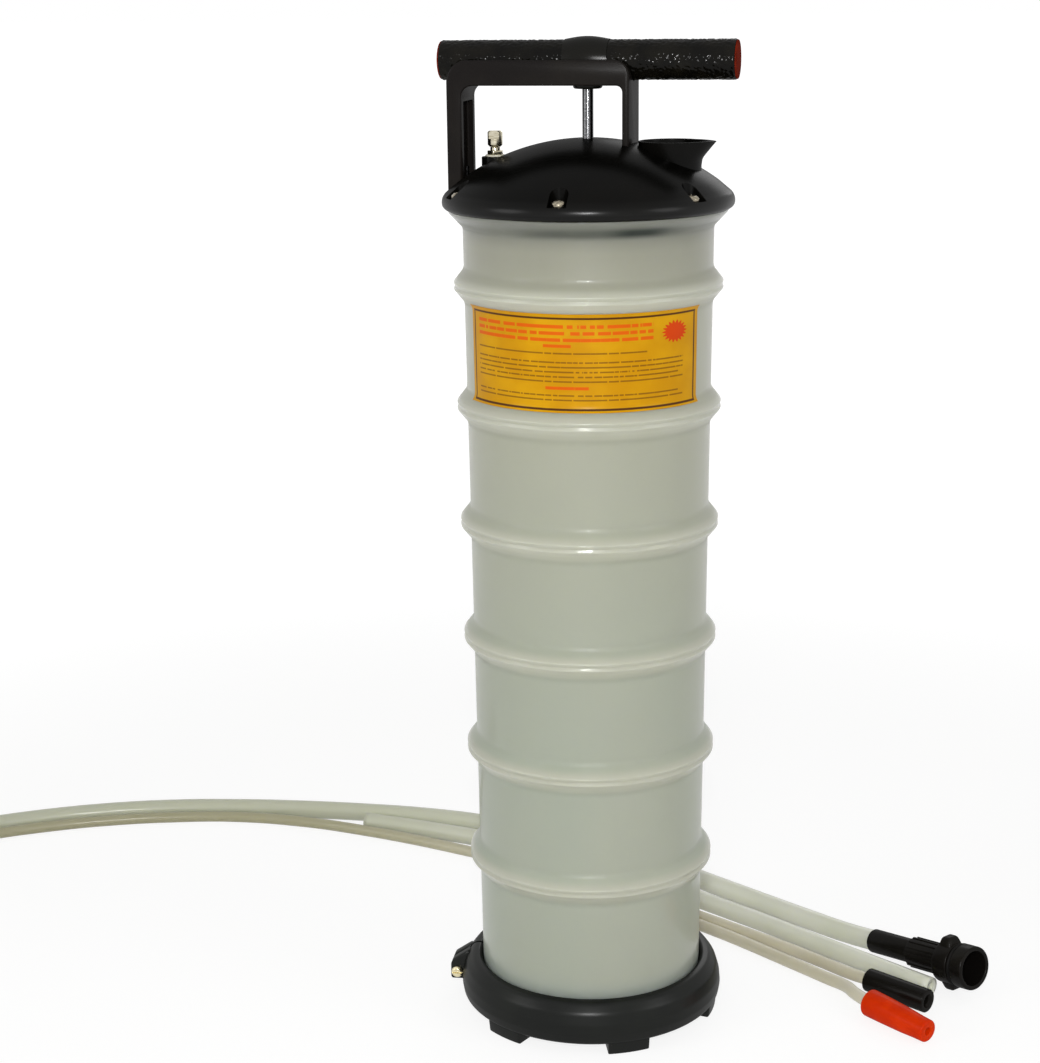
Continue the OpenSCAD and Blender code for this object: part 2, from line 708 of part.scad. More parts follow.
// Countersunk screws that hold the outer leg of the carry handle from under the lid
module handle_screws() {
    color([0.7, 0.7, 0.68]) on_lid() for (side = [-1, 1])
        translate([handle_screw_at, side * handle_screw_side, top_z + handle_screw_seat]) {
            cylinder(r = handle_screw_d / 2, h = handle_screw_l, $fn = 32);
            cylinder(r = handle_screw_d, h = handle_screw_head_t, $fn = 32);
        }
}

// Bush that guides the pump rod in the dome, with grooves that let the pumped air out
module rod_bush() {
    color([0.2, 0.2, 0.19]) difference() {
        union() {
            translate([0, 0, apex_z - bush_l]) cylinder(r = bush_r, h = bush_l - bush_sunk, $fn = 64);
            translate([0, 0, apex_z - bush_l - bush_flange_t])
                cylinder(r = bush_r + bush_flange_out, h = bush_flange_t, $fn = 64);
        }
        translate([0, 0, apex_z - bush_l - bush_flange_t - past])
            cylinder(r = rod_r + running_gap, h = bush_l + bush_flange_t + 3 * past, $fn = 64);
        translate([0, 0, apex_z - bush_l - bush_flange_t - past])
            cylinder(r = rod_r + wiper_w + fixed_gap, h = wiper_h + past, $fn = 64);
        for (turn = [0, 120, 240])
            rotate([0, 0, turn]) translate([rod_r, 0, apex_z - bush_l - bush_flange_t - past])
                cylinder(r = 0.8, h = bush_l + bush_flange_t + 3 * past, $fn = 24);
    }
}

// Felt ring that wipes the rod under the bush
module rod_wiper() {
    color([0.55, 0.52, 0.45]) translate([0, 0, apex_z - bush_l - bush_flange_t]) difference() {
        cylinder(r = rod_r + wiper_w, h = wiper_h - fixed_gap, $fn = 64);
        translate([0, 0, -past]) cylinder(r = rod_r + running_gap, h = wiper_h + 2 * past, $fn = 64);
    }
}

// Pump cylinder, held in the collar of the lid
module pump_cylinder() {
    color([0.75, 0.76, 0.74]) translate([0, 0, cyl_z]) difference() {
        cylinder(r = cyl_r, h = cyl_l);
        translate([0, 0, -past]) cylinder(r = bore_r, h = cyl_l + 2 * past);
    }
}

// Cap at the foot of the cylinder: the intake valve's seat, a chamber under it and the air tube's socket
module cylinder_cap() {
    plate_z = cyl_z - plate_t;
    chamber_z = plate_z - chamber_h;
    low = chamber_z - cap_floor;
    socket_r = snorkel_r + socket_wall;
    color([0.16, 0.16, 0.16]) on_lid() difference() {
        union() {
            translate([0, 0, low]) cylinder(r = cyl_r + cap_wall, h = cyl_z + cap_lap - low);
            translate([0, snorkel_at, low]) cylinder(r = socket_r, h = cyl_z + 4 - low, $fn = 48);
            translate([-socket_r, 0, low]) cube([2 * socket_r, snorkel_at, cyl_z - low]);
        }
        translate([0, 0, cyl_z]) cylinder(r = cyl_r + fixed_gap, h = cap_lap + past);
        translate([0, 0, chamber_z]) cylinder(r = chamber_r, h = chamber_h, $fn = 64);
        translate([0, 0, plate_z - past])
            cylinder(r = 2 + running_gap, h = plate_t + 2 * past, $fn = 32);
        for (turn = [0 : 90 : 270])
            rotate([0, 0, turn + 45]) translate([6, 0, plate_z - past])
                cylinder(r = 2, h = plate_t + 2 * past, $fn = 24);
        translate([0, 0, chamber_z + chamber_h / 2]) rotate([-90, 0, 0])
            cylinder(r = snorkel_r - snorkel_wall, h = snorkel_at, $fn = 32);
        translate([0, snorkel_at, chamber_z])
            cylinder(r = snorkel_r + fixed_gap, h = chamber_h + plate_t + 6, $fn = 48);
    }
}

// Intake valve: a disc on a guided stem with a retaining collar
module intake_valve() {
    stem_l = plate_t + valve_lift + 0.2;
    color([0.25, 0.16, 0.12]) translate([0, 0, cyl_z]) {
        translate([0, 0, 0.02]) cylinder(r = 9, h = valve_t, $fn = 48);
        translate([0, 0, -stem_l]) cylinder(r = 2, h = stem_l + 0.5, $fn = 32);
        translate([0, 0, -stem_l - 1.2]) cylinder(r = 3.4, h = 1.2, $fn = 32);
    }
}

// Air tube from the foot of the cylinder up to the float shut-off
module intake_snorkel() {
    low = cyl_z - plate_t - 2;
    color([0.78, 0.79, 0.76]) on_lid() translate([0, snorkel_at, low]) difference() {
        cylinder(r = snorkel_r, h = seat_z - low, $fn = 48);
        translate([0, 0, -past])
            cylinder(r = snorkel_r - snorkel_wall, h = seat_z - low + 2 * past, $fn = 48);
    }
}

// Float cage: a slotted guide for the ball, with its seat above it joined to the air tube
module float_cage() {
    socket_r = snorkel_r + socket_wall;
    cage_socket_l = 14;
    duct_z = cage_top - cage_roof / 2;
    color([0.16, 0.16, 0.16]) on_lid() difference() {
        union() {
            translate([0, cage_at, cage_z]) cylinder(r = cage_r, h = cage_top - cage_z, $fn = 64);
            translate([0, snorkel_at, seat_z - cage_socket_l])
                cylinder(r = socket_r, h = cage_top - seat_z + cage_socket_l, $fn = 48);
            translate([-socket_r, snorkel_at, seat_z])
                cube([2 * socket_r, cage_at - snorkel_at, cage_roof]);
        }
        translate([0, cage_at, cage_z + cage_bar])
            cylinder(r = cage_bore_r, h = seat_z - cage_z - cage_bar, $fn = 64);
        for (turn = [45, 135])
            translate([0, cage_at, cage_z + cage_bar + (seat_z - cage_z - cage_bar) / 2]) rotate([0, 0, turn])
                cube([3 * cage_r, cage_r * 0.7, seat_z - cage_z - cage_bar - 6], center = true);
        for (turn = [0 : 90 : 270])
            translate([0, cage_at, cage_z - past]) rotate([0, 0, turn + 45])
                translate([cage_bore_r * 0.55, 0, 0])
                    cylinder(r = 2.6, h = cage_bar + 2 * past, $fn = 24);
        translate([0, cage_at, seat_z - past]) cylinder(r = seat_r, h = cage_roof / 2 + past, $fn = 32);
        translate([0, snorkel_at, duct_z]) rotate([-90, 0, 0])
            cylinder(r = snorkel_r - 2, h = cage_at - snorkel_at, $fn = 32);
        translate([0, snorkel_at, seat_z - cage_socket_l - past])
            cylinder(r = snorkel_r + fixed_gap, h = cage_socket_l + past, $fn = 48);
        translate([0, snorkel_at, seat_z - past])
            cylinder(r = snorkel_r - 2, h = cage_roof / 2 + past, $fn = 48);
    }
}

// Float ball that rises with the fluid and shuts the air tube
module float_ball() {
    color([0.85, 0.5, 0.15]) on_lid() translate([0, cage_at, ball_z]) sphere(r = ball_r, $fn = 48);
}

// Pump rod, drilled across at the top for the pin
module pump_rod() {
    low = piston_z - rod_foot;
    color([0.66, 0.67, 0.68]) on_lid() difference() {
        translate([0, 0, low]) cylinder(r = rod_r, h = grip_z - 3 - low, $fn = 64);
        translate([0, 0, grip_z - pin_drop]) rotate([90, 0, 0])
            cylinder(r = pin_r + fixed_gap, h = 4 * rod_r, center = true, $fn = 32);
    }
}

// A disc on the pump rod
module rod_disc(r, h) {
    difference() {
        cylinder(r = r, h = h);
        translate([0, 0, -past]) cylinder(r = rod_r + fixed_gap, h = h + 2 * past, $fn = 64);
    }
}

// Piston that backs the cup seal
module piston() {
    color([0.2, 0.2, 0.2]) translate([0, 0, piston_z + nut_h]) rod_disc(bore_r - 1, piston_h);
}

// Cup seal with its lip turned up
module piston_cup() {
    color([0.35, 0.2, 0.12]) translate([0, 0, piston_z + nut_h + piston_h]) difference() {
        rod_disc(bore_r - running_gap, cup_base + cup_lip);
        translate([0, 0, cup_base]) cylinder(r1 = bore_r - 2.4, r2 = bore_r - 1.2, h = cup_lip + 0.01);
    }
}

// Washer that clamps the cup seal
module piston_washer() {
    color([0.66, 0.67, 0.68]) translate([0, 0, piston_z + nut_h + piston_h + cup_base])
        rod_disc(bore_r - 6, washer_t);
}

// Nuts on the threaded foot of the rod, above and below the piston
module piston_nuts() {
    color([0.66, 0.67, 0.68]) for (spot = [[0, nut_h], [stack_h - jam_nut_h, jam_nut_h]])
        translate([0, 0, piston_z + spot[0]]) difference() {
            cylinder(r = nut_across / sqrt(3), h = spot[1], $fn = 6);
            translate([0, 0, -past]) cylinder(r = rod_r + fixed_gap, h = spot[1] + 2 * past, $fn = 64);
        }
}

// Hub that joins the T-handle's tube to the rod: a sleeve that swells towards its middle, with a boss below
module handle_hub() {
    end_r = grip_r + hub_end_wall;
    steps = 6;
    swell = [
        for (k = [-steps : steps])
            [end_r + (hub_r - end_r) * cos(90 * k / steps), hub_l / 2 * k / steps]
    ];
    color([0.1, 0.1, 0.1]) on_lid() translate([0, 0, grip_z]) difference() {
        union() {
            rotate([0, 90, 0]) rotate_extrude() polygon(concat([[0, -hub_l / 2]], swell, [[0, hub_l / 2]]));
            translate([0, 0, -boss_drop]) cylinder(r = boss_r, h = boss_drop - grip_r + 3);
        }
        lying(grip_r + fixed_gap, hub_l + 2 * past);
        translate([0, 0, -boss_drop - past]) cylinder(r = rod_r + fixed_gap, h = boss_drop, $fn = 64);
        translate([0, 0, -pin_drop]) rotate([90, 0, 0])
            cylinder(r = pin_r + fixed_gap, h = 3 * boss_r, center = true, $fn = 32);
    }
}

// Tube of the T-handle, with a hole below for the rod
module handle_tube() {
    color([0.09, 0.09, 0.09]) on_lid() translate([0, 0, grip_z]) difference() {
        lying(grip_r, grip_l);
        lying(grip_r - grip_wall, grip_l + 2 * past);
        translate([0, 0, -grip_r - past]) cylinder(r = rod_r + fixed_gap, h = grip_r, $fn = 64);
    }
}

// Pin through the hub and the rod
module handle_pin() {
    color([0.66, 0.67, 0.68]) on_lid() translate([0, 0, grip_z - pin_drop]) rotate([90, 0, 0])
        cylinder(r = pin_r, h = 2 * boss_r - 2, center = true, $fn = 32);
}

// End plug of the T-handle's tube, on the right for side = 1
module handle_plug(side) {
    color([0.62, 0.14, 0.06]) on_lid() translate([side * grip_l / 2, 0, grip_z]) rotate([0, side * 90, 0]) {
        translate([0, 0, fixed_gap]) cylinder(r1 = grip_r - 0.2, r2 = grip_r - 0.9, h = plug_t);
        translate([0, 0, -12]) cylinder(r = grip_r - grip_wall - fixed_gap, h = 12 + 2 * fixed_gap);
    }
}
module handle_plug_left() {
    handle_plug(-1);
}
module handle_plug_right() {
    handle_plug(1);
}

// Places its children on the seat of the vent valve
module at_vent() {
    on_lid() translate([-vent_s, 0, vent_z]) children();
}

// Body of the vent valve: a threaded stem, a hexagon, a neck and the pin that the knob turns on
module vent_body() {
    hex_z = vent_washer_t;
    neck_z = hex_z + vent_hex_h;
    color([0.78, 0.74, 0.60]) at_vent() {
        translate([0, 0, -vent_stem_l])
            cylinder(r = vent_thread_d / 2, h = vent_stem_l + hex_z + past / 2, $fn = 48);
        translate([0, 0, hex_z])
            cylinder(r = vent_thread_d / 2 + vent_hex_wall, h = vent_hex_h, $fn = 6);
        translate([0, 0, neck_z - past / 2])
            cylinder(r = vent_neck_r, h = vent_neck_h + past / 2, $fn = 48);
        translate([0, 0, neck_z]) cylinder(r = vent_pin_r, h = vent_neck_h + knob_h - 2, $fn = 32);
    }
}

// White washer under the vent valve
module vent_washer() {
    washer_r = vent_thread_d / 2 + vent_hex_wall + vent_washer_lap;
    color([0.92, 0.91, 0.85]) at_vent() difference() {
        cylinder(r = washer_r, h = vent_washer_t - fixed_gap, $fn = 48);
        translate([0, 0, -past])
            cylinder(r = vent_thread_d / 2 + fixed_gap, h = vent_washer_t + 2 * past, $fn = 48);
    }
}

// Knob of the vent valve, with two flats for the fingers
module vent_knob() {
    flat_w = knob_d * 0.72;
    color([0.80, 0.78, 0.68]) on_lid() translate([-vent_s, 0, knob_z]) difference() {
        union() {
            cylinder(r1 = knob_d / 2 - 1.4, r2 = knob_d / 2, h = 1.6, $fn = 48);
            translate([0, 0, 1.6]) cylinder(r = knob_d / 2, h = knob_h - 2.6, $fn = 48);
            translate([0, 0, knob_h - 1])
                cylinder(r1 = knob_d / 2, r2 = knob_d / 2 - 1, h = 1, $fn = 48);
        }
        translate([0, 0, -past])
            cylinder(r = vent_pin_r + running_gap, h = knob_h - 1.6 + past, $fn = 32);
        for (side = [-1, 1])
            translate([0, side * (flat_w / 2 + knob_d / 2), knob_h])
                cube([2 * knob_d, knob_d, knob_h], center = true);
    }
}

// Places its children along a fitting that lies on the floor: local Z runs away from the hose
module along(at, turn, tilt) {
    translate(at) rotate([0, 90 - tilt, turn]) children();
}

// Sleeve over the joint of the suction hose and its connector
module connector_sleeve() {
    color([0.13, 0.13, 0.12]) along(connector_at, connector_turn, connector_tilt) difference() {
        cylinder(r = sleeve_r, h = sleeve_l, $fn = 48);
        translate([0, 0, -past])
            cylinder(r = suction_d / 2 + sleeve_gap, h = sleeve_l + 2 * past, $fn = 48);
    }
}

// Connector: a tail in the sleeve, a ribbed grip, a flange with two locking lugs and the hollow plug
module connector_body() {
    flange_z = sleeve_l + connector_grip_l;
    plug_z = flange_z + connector_flange_l;
    rib_t = 1.4;
    rib_h = 1.2;
    color([0.13, 0.13, 0.12]) along(connector_at, connector_turn, connector_tilt) difference() {
        union() {
            translate([0, 0, tail_z])
                cylinder(r = suction_d / 2 + tail_gap, h = sleeve_l - tail_z + past, $fn = 48);
            translate([0, 0, sleeve_l + fixed_gap])
                cylinder(r = connector_grip_r, h = connector_grip_l, $fn = 48);
            for (i = [0 : connector_ribs - 1])
                rotate([0, 0, 360 * i / connector_ribs])
                    translate([connector_grip_r - rib_h / 2, -rib_t / 2, sleeve_l + 2 * past])
                        cube([rib_h, rib_t, connector_grip_l - 2 * past]);
            translate([0, 0, flange_z])
                cylinder(r = plug_r - past / 2, h = connector_flange_l, $fn = 64);
            for (turn = [0, 180])
                rotate([0, 0, turn]) translate([0, -lug_half, flange_z])
                    cube([plug_r + lug_reach, 2 * lug_half, connector_flange_l - 3 * past]);
            translate([0, 0, plug_z - past])
                cylinder(r = plug_r - groove_depth, h = plug_l + past, $fn = 64);
            translate([0, 0, plug_z + groove_w]) cylinder(r = plug_r, h = plug_l - groove_w, $fn = 64);
        }
        translate([0, 0, tail_z - past]) cylinder(r = connector_bore_r, h = plug_z, $fn = 48);
        translate([0, 0, flange_z + groove_w])
            cylinder(r = plug_r - 3 * past, h = plug_l + connector_flange_l, $fn = 64);
    }
}

// Sealing ring in the groove of the connector's plug
module connector_oring() {
    seal_z = sleeve_l + connector_grip_l + connector_flange_l + groove_w / 2;
    color([0.08, 0.08, 0.08]) along(connector_at, connector_turn, connector_tilt) translate([0, 0, seal_z])
        rotate_extrude() translate([plug_r - groove_depth / 2, 0]) circle(r = seal_r, $fn = 24);
}

// Black adapter on the slim tube
module adapter_sleeve() {
    through_r = slim_d / 2 - 0.8;
    color([0.12, 0.12, 0.12]) along(adapter_at, adapter_turn, 0) difference() {
        cylinder(r = adapter_r, h = adapter_l, $fn = 48);
        translate([0, 0, -past]) cylinder(r = slim_d / 2 + sleeve_gap, h = socket_l + past, $fn = 32);
        translate([0, 0, -past]) cylinder(r = through_r, h = adapter_l + 2 * past, $fn = 32);
    }
}

// Red nozzle on the short tube: a tapered grip and a narrower tip
module red_nozzle() {
    grip_len = nozzle_l - tip_l;
    draft = 0.9;
    tip_r = nozzle_r - 2 * draft;
    tip_draft = 0.3;
    color([0.85, 0.2, 0.05]) along(nozzle_at, nozzle_turn, nozzle_tilt) difference() {
        union() {
            cylinder(r1 = nozzle_r, r2 = nozzle_r - draft, h = grip_len, $fn = 48);
            translate([0, 0, grip_len - past])
                cylinder(r1 = tip_r, r2 = tip_r - tip_draft, h = tip_l + past, $fn = 48);
        }
        translate([0, 0, -past]) cylinder(r = slim_d / 2 + sleeve_gap, h = socket_l + past, $fn = 32);
        translate([0, 0, -past]) cylinder(r = slim_d / 2 - 1.5, h = nozzle_l + 2 * past, $fn = 32);
    }
}

// Loose hoses
module suction_hose() {
    color([0.80, 0.80, 0.72]) hose(suction_route, suction_d / 2);
}
module wide_tube() {
    color([0.80, 0.80, 0.72]) hose(wide_route, wide_d / 2);
}
module slim_tube() {
    color([0.80, 0.76, 0.66]) hose(slim_route, slim_d / 2);
}
module short_tube() {
    color([0.80, 0.76, 0.66]) hose(short_route, slim_d / 2);
}

tank();
tank_label();
base_ring();
ring_clamp_screw();
lid();
lid_gasket();
lid_screws();
carry_handle();
handle_screws();
rod_bush();
rod_wiper();
pump_cylinder();
cylinder_cap();
intake_valve();
intake_snorkel();
float_cage();
float_ball();
pump_rod();
piston();
piston_cup();
piston_washer();
piston_nuts();
handle_hub();
handle_tube();
handle_pin();
handle_plug_left();
handle_plug_right();
vent_body();
vent_washer();
vent_knob();
connector_sleeve();
connector_body();
connector_oring();
adapter_sleeve();
red_nozzle();
suction_hose();
wide_tube();
slim_tube();
short_tube();
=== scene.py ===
import math

import bmesh
import bpy
from mathutils import Matrix, Vector, noise


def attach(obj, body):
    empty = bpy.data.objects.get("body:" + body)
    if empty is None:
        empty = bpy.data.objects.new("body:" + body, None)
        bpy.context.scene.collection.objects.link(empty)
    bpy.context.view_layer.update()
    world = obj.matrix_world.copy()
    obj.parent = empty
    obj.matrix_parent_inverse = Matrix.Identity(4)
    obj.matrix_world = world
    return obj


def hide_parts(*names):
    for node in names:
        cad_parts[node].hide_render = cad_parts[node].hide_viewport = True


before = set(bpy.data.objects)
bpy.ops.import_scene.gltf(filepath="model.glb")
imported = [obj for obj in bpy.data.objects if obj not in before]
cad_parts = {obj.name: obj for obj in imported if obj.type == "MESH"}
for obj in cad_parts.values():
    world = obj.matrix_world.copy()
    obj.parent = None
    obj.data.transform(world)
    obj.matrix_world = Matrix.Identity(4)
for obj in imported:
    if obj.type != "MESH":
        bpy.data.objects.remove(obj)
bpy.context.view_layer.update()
bpy.context.scene.view_settings.view_transform = "Standard"


# The camera was held at chest height in front of the tank, tipped down by about fourteen degrees and
# turned a little to the left, so that the hoses run out of the frame on that side.
yaw, pitch, roll = -0.0337, 0.2524, -0.0121
eye = (0, -1.2463, 0.6288)
focal_pixels, photo_height, film_width = 2125.76, 1063, 36
forward = Vector((math.sin(yaw) * math.cos(pitch), math.cos(yaw) * math.cos(pitch), -math.sin(pitch)))
level = Vector((math.cos(yaw), -math.sin(yaw), 0))
upright = level.cross(forward)
right = math.cos(roll) * level + math.sin(roll) * upright
above = -math.sin(roll) * level + math.cos(roll) * upright
camera = bpy.data.objects.new("camera", bpy.data.cameras.new("camera"))
camera.data.lens = film_width * focal_pixels / photo_height
camera.data.sensor_width = film_width
aim = Matrix((right, above, -forward)).transposed().to_4x4()
camera.matrix_world = Matrix.Translation(eye) @ aim
bpy.context.scene.collection.objects.link(camera)
bpy.context.scene.camera = camera


# Loose hoses: extruded vinyl tubing, cloudy and slightly yellowed, lying on the floor in one bundle. The
# two wide ones draw fluid and the two slim ones are dip tubes. Their ends are cut square.
class Wire:
    """One output in a finish's node tree. Arithmetic on it adds Math nodes."""

    def __init__(self, finish, socket):
        self.finish, self.socket = finish, socket

    def math(self, operation, *others):
        return self.finish.add("Math", {"operation": operation}, dict(enumerate((self, *others))))

    def __add__(self, other):
        return self.math("ADD", other)

    def __sub__(self, other):
        return self.math("SUBTRACT", other)

    def __rsub__(self, other):
        return self.finish.add("Math", {"operation": "SUBTRACT"}, {0: other, 1: self})

    def __mul__(self, other):
        return self.math("MULTIPLY", other)

    def __truediv__(self, other):
        return self.math("DIVIDE", other)

    __radd__, __rmul__ = __add__, __mul__

    def rise(self, low, high):
        """0 below low, 1 above high, smooth between."""
        ends = {"Value": self, "From Min": low, "From Max": high}
        return self.finish.add("MapRange", {"interpolation_type": "SMOOTHSTEP"}, ends)

    def band(self, low, high, soft):
        """1 between low and high, 0 outside, with soft edges."""
        return self.rise(low - soft, low + soft) * (1 - self.rise(high - soft, high + soft))


class Nodes:
    """A node tree, to which nodes are added one at a time."""

    def __init__(self, tree):
        self.tree = tree

    def feed(self, node, values):
        for socket, value in values.items():
            if isinstance(value, Wire):
                self.tree.links.new(value.socket, node.inputs[socket])
            else:
                node.inputs[socket].default_value = value

    def add(self, kind, settings=None, inputs=None, out=0):
        node = self.tree.nodes.new("ShaderNode" + kind)
        for key, value in (settings or {}).items():
            setattr(node, key, value)
        self.feed(node, inputs or {})
        return Wire(self, node.outputs[out])


class Finish(Nodes):
    """A material: constants on its shader's sockets, and whatever varies fed from its nodes."""

    def __init__(self, name, **constants):
        self.material = bpy.data.materials.new(name)
        self.material.use_nodes = True
        super().__init__(self.material.node_tree)
        self.shader = self.tree.nodes["Principled BSDF"]
        for key, value in constants.items():
            self.feed(self.shader, {key.replace("_", " ").title().replace("Ior", "IOR"): value})
        self.place = self.add("TexCoord", out="Object")

    def axes(self):
        """The place on the piece as three numbers, in metres."""
        return [self.add("SeparateXYZ", None, {0: self.place}, axis) for axis in "XYZ"]

    def noise(self, scale, detail=2.0, stretch=(1, 1, 1)):
        spot = self.add("Mapping", None, {"Vector": self.place, "Scale": stretch})
        return self.add("TexNoise", None, {"Vector": spot, "Scale": scale, "Detail": detail}, "Fac")

    def blend(self, share, low, high):
        return self.add("Mix", {"data_type": "RGBA"}, {0: share, 6: low, 7: high}, 2)

    def colour(self, value):
        self.feed(self.shader, {"Base Color": value})

    def rough(self, value):
        self.feed(self.shader, {"Roughness": value})

    def coat(self, value):
        self.feed(self.shader, {"Coat Weight": value})

    def relief(self, height, depth, strength=1.0):
        bump = self.add("Bump", None, {"Height": height, "Distance": depth, "Strength": strength}, "Normal")
        self.feed(self.shader, {"Normal": bump})


def paint(*screen):
    """A colour as it shows on a screen, 0 to 255, as the shader takes it."""
    return tuple(c / 3294.6 if c < 11 else ((c / 255 + 0.055) / 1.055) ** 2.4 for c in screen) + (1.0,)


def vinyl(name, clear, cloudy, shaded_far_left):
    """Cloudy tubing, painted darker towards the ends that lie far to the left as painted shade."""
    finish = Finish(name, subsurface_weight=0.55, subsurface_radius=(0.004, 0.004, 0.003),
                    subsurface_scale=1.0, ior=1.45, specular_ior_level=0.35, coat_weight=0.25,
                    coat_roughness=0.14)
    across = finish.axes()[0]
    fresh = finish.blend(finish.noise(16, 3).rise(0.3, 0.7), clear, cloudy)
    # Painted shade: the tubing's colour darkens towards the far left.
    finish.colour(finish.blend(across.rise(-0.24, 0.1), shaded_far_left, fresh))
    finish.rough(0.26 + finish.noise(90, 2) * 0.18)
    finish.relief(finish.noise(220, 2), 0.0004, 0.2)
    return finish


def lay_hose(name, points, diameter, wall, finish, node):
    """A hollow tube along the points, riding with the tank in place of its solid."""
    curve = bpy.data.curves.new(name, "CURVE")
    curve.dimensions = "3D"
    curve.bevel_depth = diameter / 2
    curve.bevel_resolution = 6
    curve.resolution_u = 8
    line = curve.splines.new("BEZIER")
    line.bezier_points.add(len(points) - 1)
    for knot, point in zip(line.bezier_points, points):
        knot.co = point
        knot.handle_left_type = knot.handle_right_type = "AUTO"
    hose = bpy.data.objects.new(name, curve)
    bpy.context.scene.collection.objects.link(hose)
    bore = hose.modifiers.new("bore", "SOLIDIFY")
    bore.thickness, bore.offset = wall, -1
    curve.materials.append(finish.material)
    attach(hose, "extractor")
    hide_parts(node)
    return hose


clear_vinyl = vinyl("clear_vinyl", paint(217, 219, 200), paint(229, 230, 215), paint(196, 198, 177))
aged_vinyl = vinyl("aged_vinyl", paint(205, 198, 173), paint(219, 213, 191), paint(168, 164, 134))
suction_points = [
    (0.1939, 0.0557, 0.0102), (0.1887, 0.062, 0.0091), (0.171, 0.079, 0.0073), (0.151, 0.0975, 0.007),
    (0.13, 0.117, 0.007), (0.095, 0.15, 0.007), (0.057, 0.1855, 0.007), (0.015, 0.218, 0.007),
    (-0.03, 0.246, 0.007), (-0.078, 0.269, 0.007), (-0.126, 0.284, 0.007), (-0.175, 0.293, 0.007),
    (-0.225, 0.299, 0.007), (-0.275, 0.302, 0.007), (-0.325, 0.301, 0.007), (-0.374, 0.294, 0.007),
    (-0.422, 0.281, 0.007), (-0.468, 0.262, 0.007), (-0.511, 0.236, 0.007), (-0.548, 0.202, 0.007),
    (-0.575, 0.16, 0.007),
]
wide_points = [
    (0.2165, 0, 0.0064), (0.1935, 0.0218, 0.0064), (0.169, 0.0452, 0.0064), (0.1445, 0.069, 0.0064),
    (0.119, 0.094, 0.0064), (0.093, 0.118, 0.0064), (0.066, 0.142, 0.0064), (0.038, 0.1655, 0.0064),
    (0.008, 0.1885, 0.0064), (-0.023, 0.2095, 0.0064), (-0.055, 0.2285, 0.0064),
    (-0.085, 0.2435, 0.0064), (-0.115, 0.256, 0.0064), (-0.144, 0.267, 0.0064),
    (-0.172, 0.2765, 0.0064),
]
slim_points = [
    (0.1835, 0.0028, 0.0076), (0.1776, 0.0082, 0.0076), (0.166, 0.0215, 0.0059), (0.15, 0.0415, 0.0043),
    (0.13, 0.0615, 0.0041), (0.101, 0.0875, 0.0041), (0.07, 0.1145, 0.0041), (0.034, 0.145, 0.0041),
    (-0.006, 0.1745, 0.0041), (-0.048, 0.2, 0.0041), (-0.09, 0.223, 0.0041), (-0.132, 0.245, 0.0041),
    (-0.176, 0.2645, 0.0041), (-0.218, 0.2795, 0.0041), (-0.275, 0.2903, 0.0041),
    (-0.324, 0.2893, 0.0041), (-0.372, 0.2825, 0.0041), (-0.418, 0.2699, 0.0041),
    (-0.463, 0.2516, 0.0041), (-0.504, 0.2266, 0.0041), (-0.539, 0.1945, 0.0041),
    (-0.565, 0.1537, 0.0041),
]
short_points = [
    (0.1788, -0.0315, 0.0087), (0.1736, -0.0255, 0.0089), (0.1673, -0.013, 0.0079),
    (0.1625, 0.0025, 0.0058), (0.153, 0.0155, 0.0044), (0.1415, 0.0285, 0.0041), (0.124, 0.047, 0.0041),
    (0.106, 0.066, 0.0041), (0.087, 0.085, 0.0041), (0.068, 0.102, 0.0041), (0.048, 0.1185, 0.0041),
    (0.027, 0.135, 0.0041), (0.005, 0.151, 0.0041), (-0.016, 0.1645, 0.0041), (-0.034, 0.175, 0.0041),
    (-0.05, 0.1835, 0.0041),
]
suction_d, suction_wall = 0.0136, 0.0024
wide_d, wide_wall = 0.0126, 0.0022
slim_d, slim_wall = 0.008, 0.0014
suction_vinyl = lay_hose("suction_hose_vinyl", suction_points, suction_d, suction_wall, clear_vinyl,
                         "suction_hose")
wide_vinyl = lay_hose("wide_tube_vinyl", wide_points, wide_d, wide_wall, clear_vinyl, "wide_tube")
slim_vinyl = lay_hose("slim_tube_vinyl", slim_points, slim_d, slim_wall, aged_vinyl, "slim_tube")
short_vinyl = lay_hose("short_tube_vinyl", short_points, slim_d, slim_wall, aged_vinyl, "short_tube")


# Hose connector: a black nylon bayonet end that plugs into the spout. It has a ribbed grip, a flange with
# two locking lugs and a hollow plug with a sealing ring, and a shrunk sleeve holds the hose on its tail.
def rounded(corners, closed=False, steps=5):
    """A line through corners (x, y) or (x, y, radius), with each corner that has a radius rounded."""
    line = []
    for i, corner in enumerate(corners):
        here = Vector(corner[:2])
        if len(corner) < 3 or (not closed and i in (0, len(corners) - 1)):
            line.append(tuple(here))
            continue
        back = (Vector(corners[i - 1][:2]) - here).normalized()
        on = (Vector(corners[(i + 1) % len(corners)][:2]) - here).normalized()
        half = back.angle(on) / 2
        middle = here + (back + on).normalized() * corner[2] / math.sin(half)
        start, end = (here + side * corner[2] / math.tan(half) - middle for side in (back, on))
        first = math.atan2(start.y, start.x)
        sweep = (math.atan2(end.y, end.x) - first + math.pi) % math.tau - math.pi
        for k in range(steps + 1):
            turn = first + sweep * k / steps
            line.append((middle.x + corner[2] * math.cos(turn), middle.y + corner[2] * math.sin(turn)))
    return line + line[:1] if closed else line


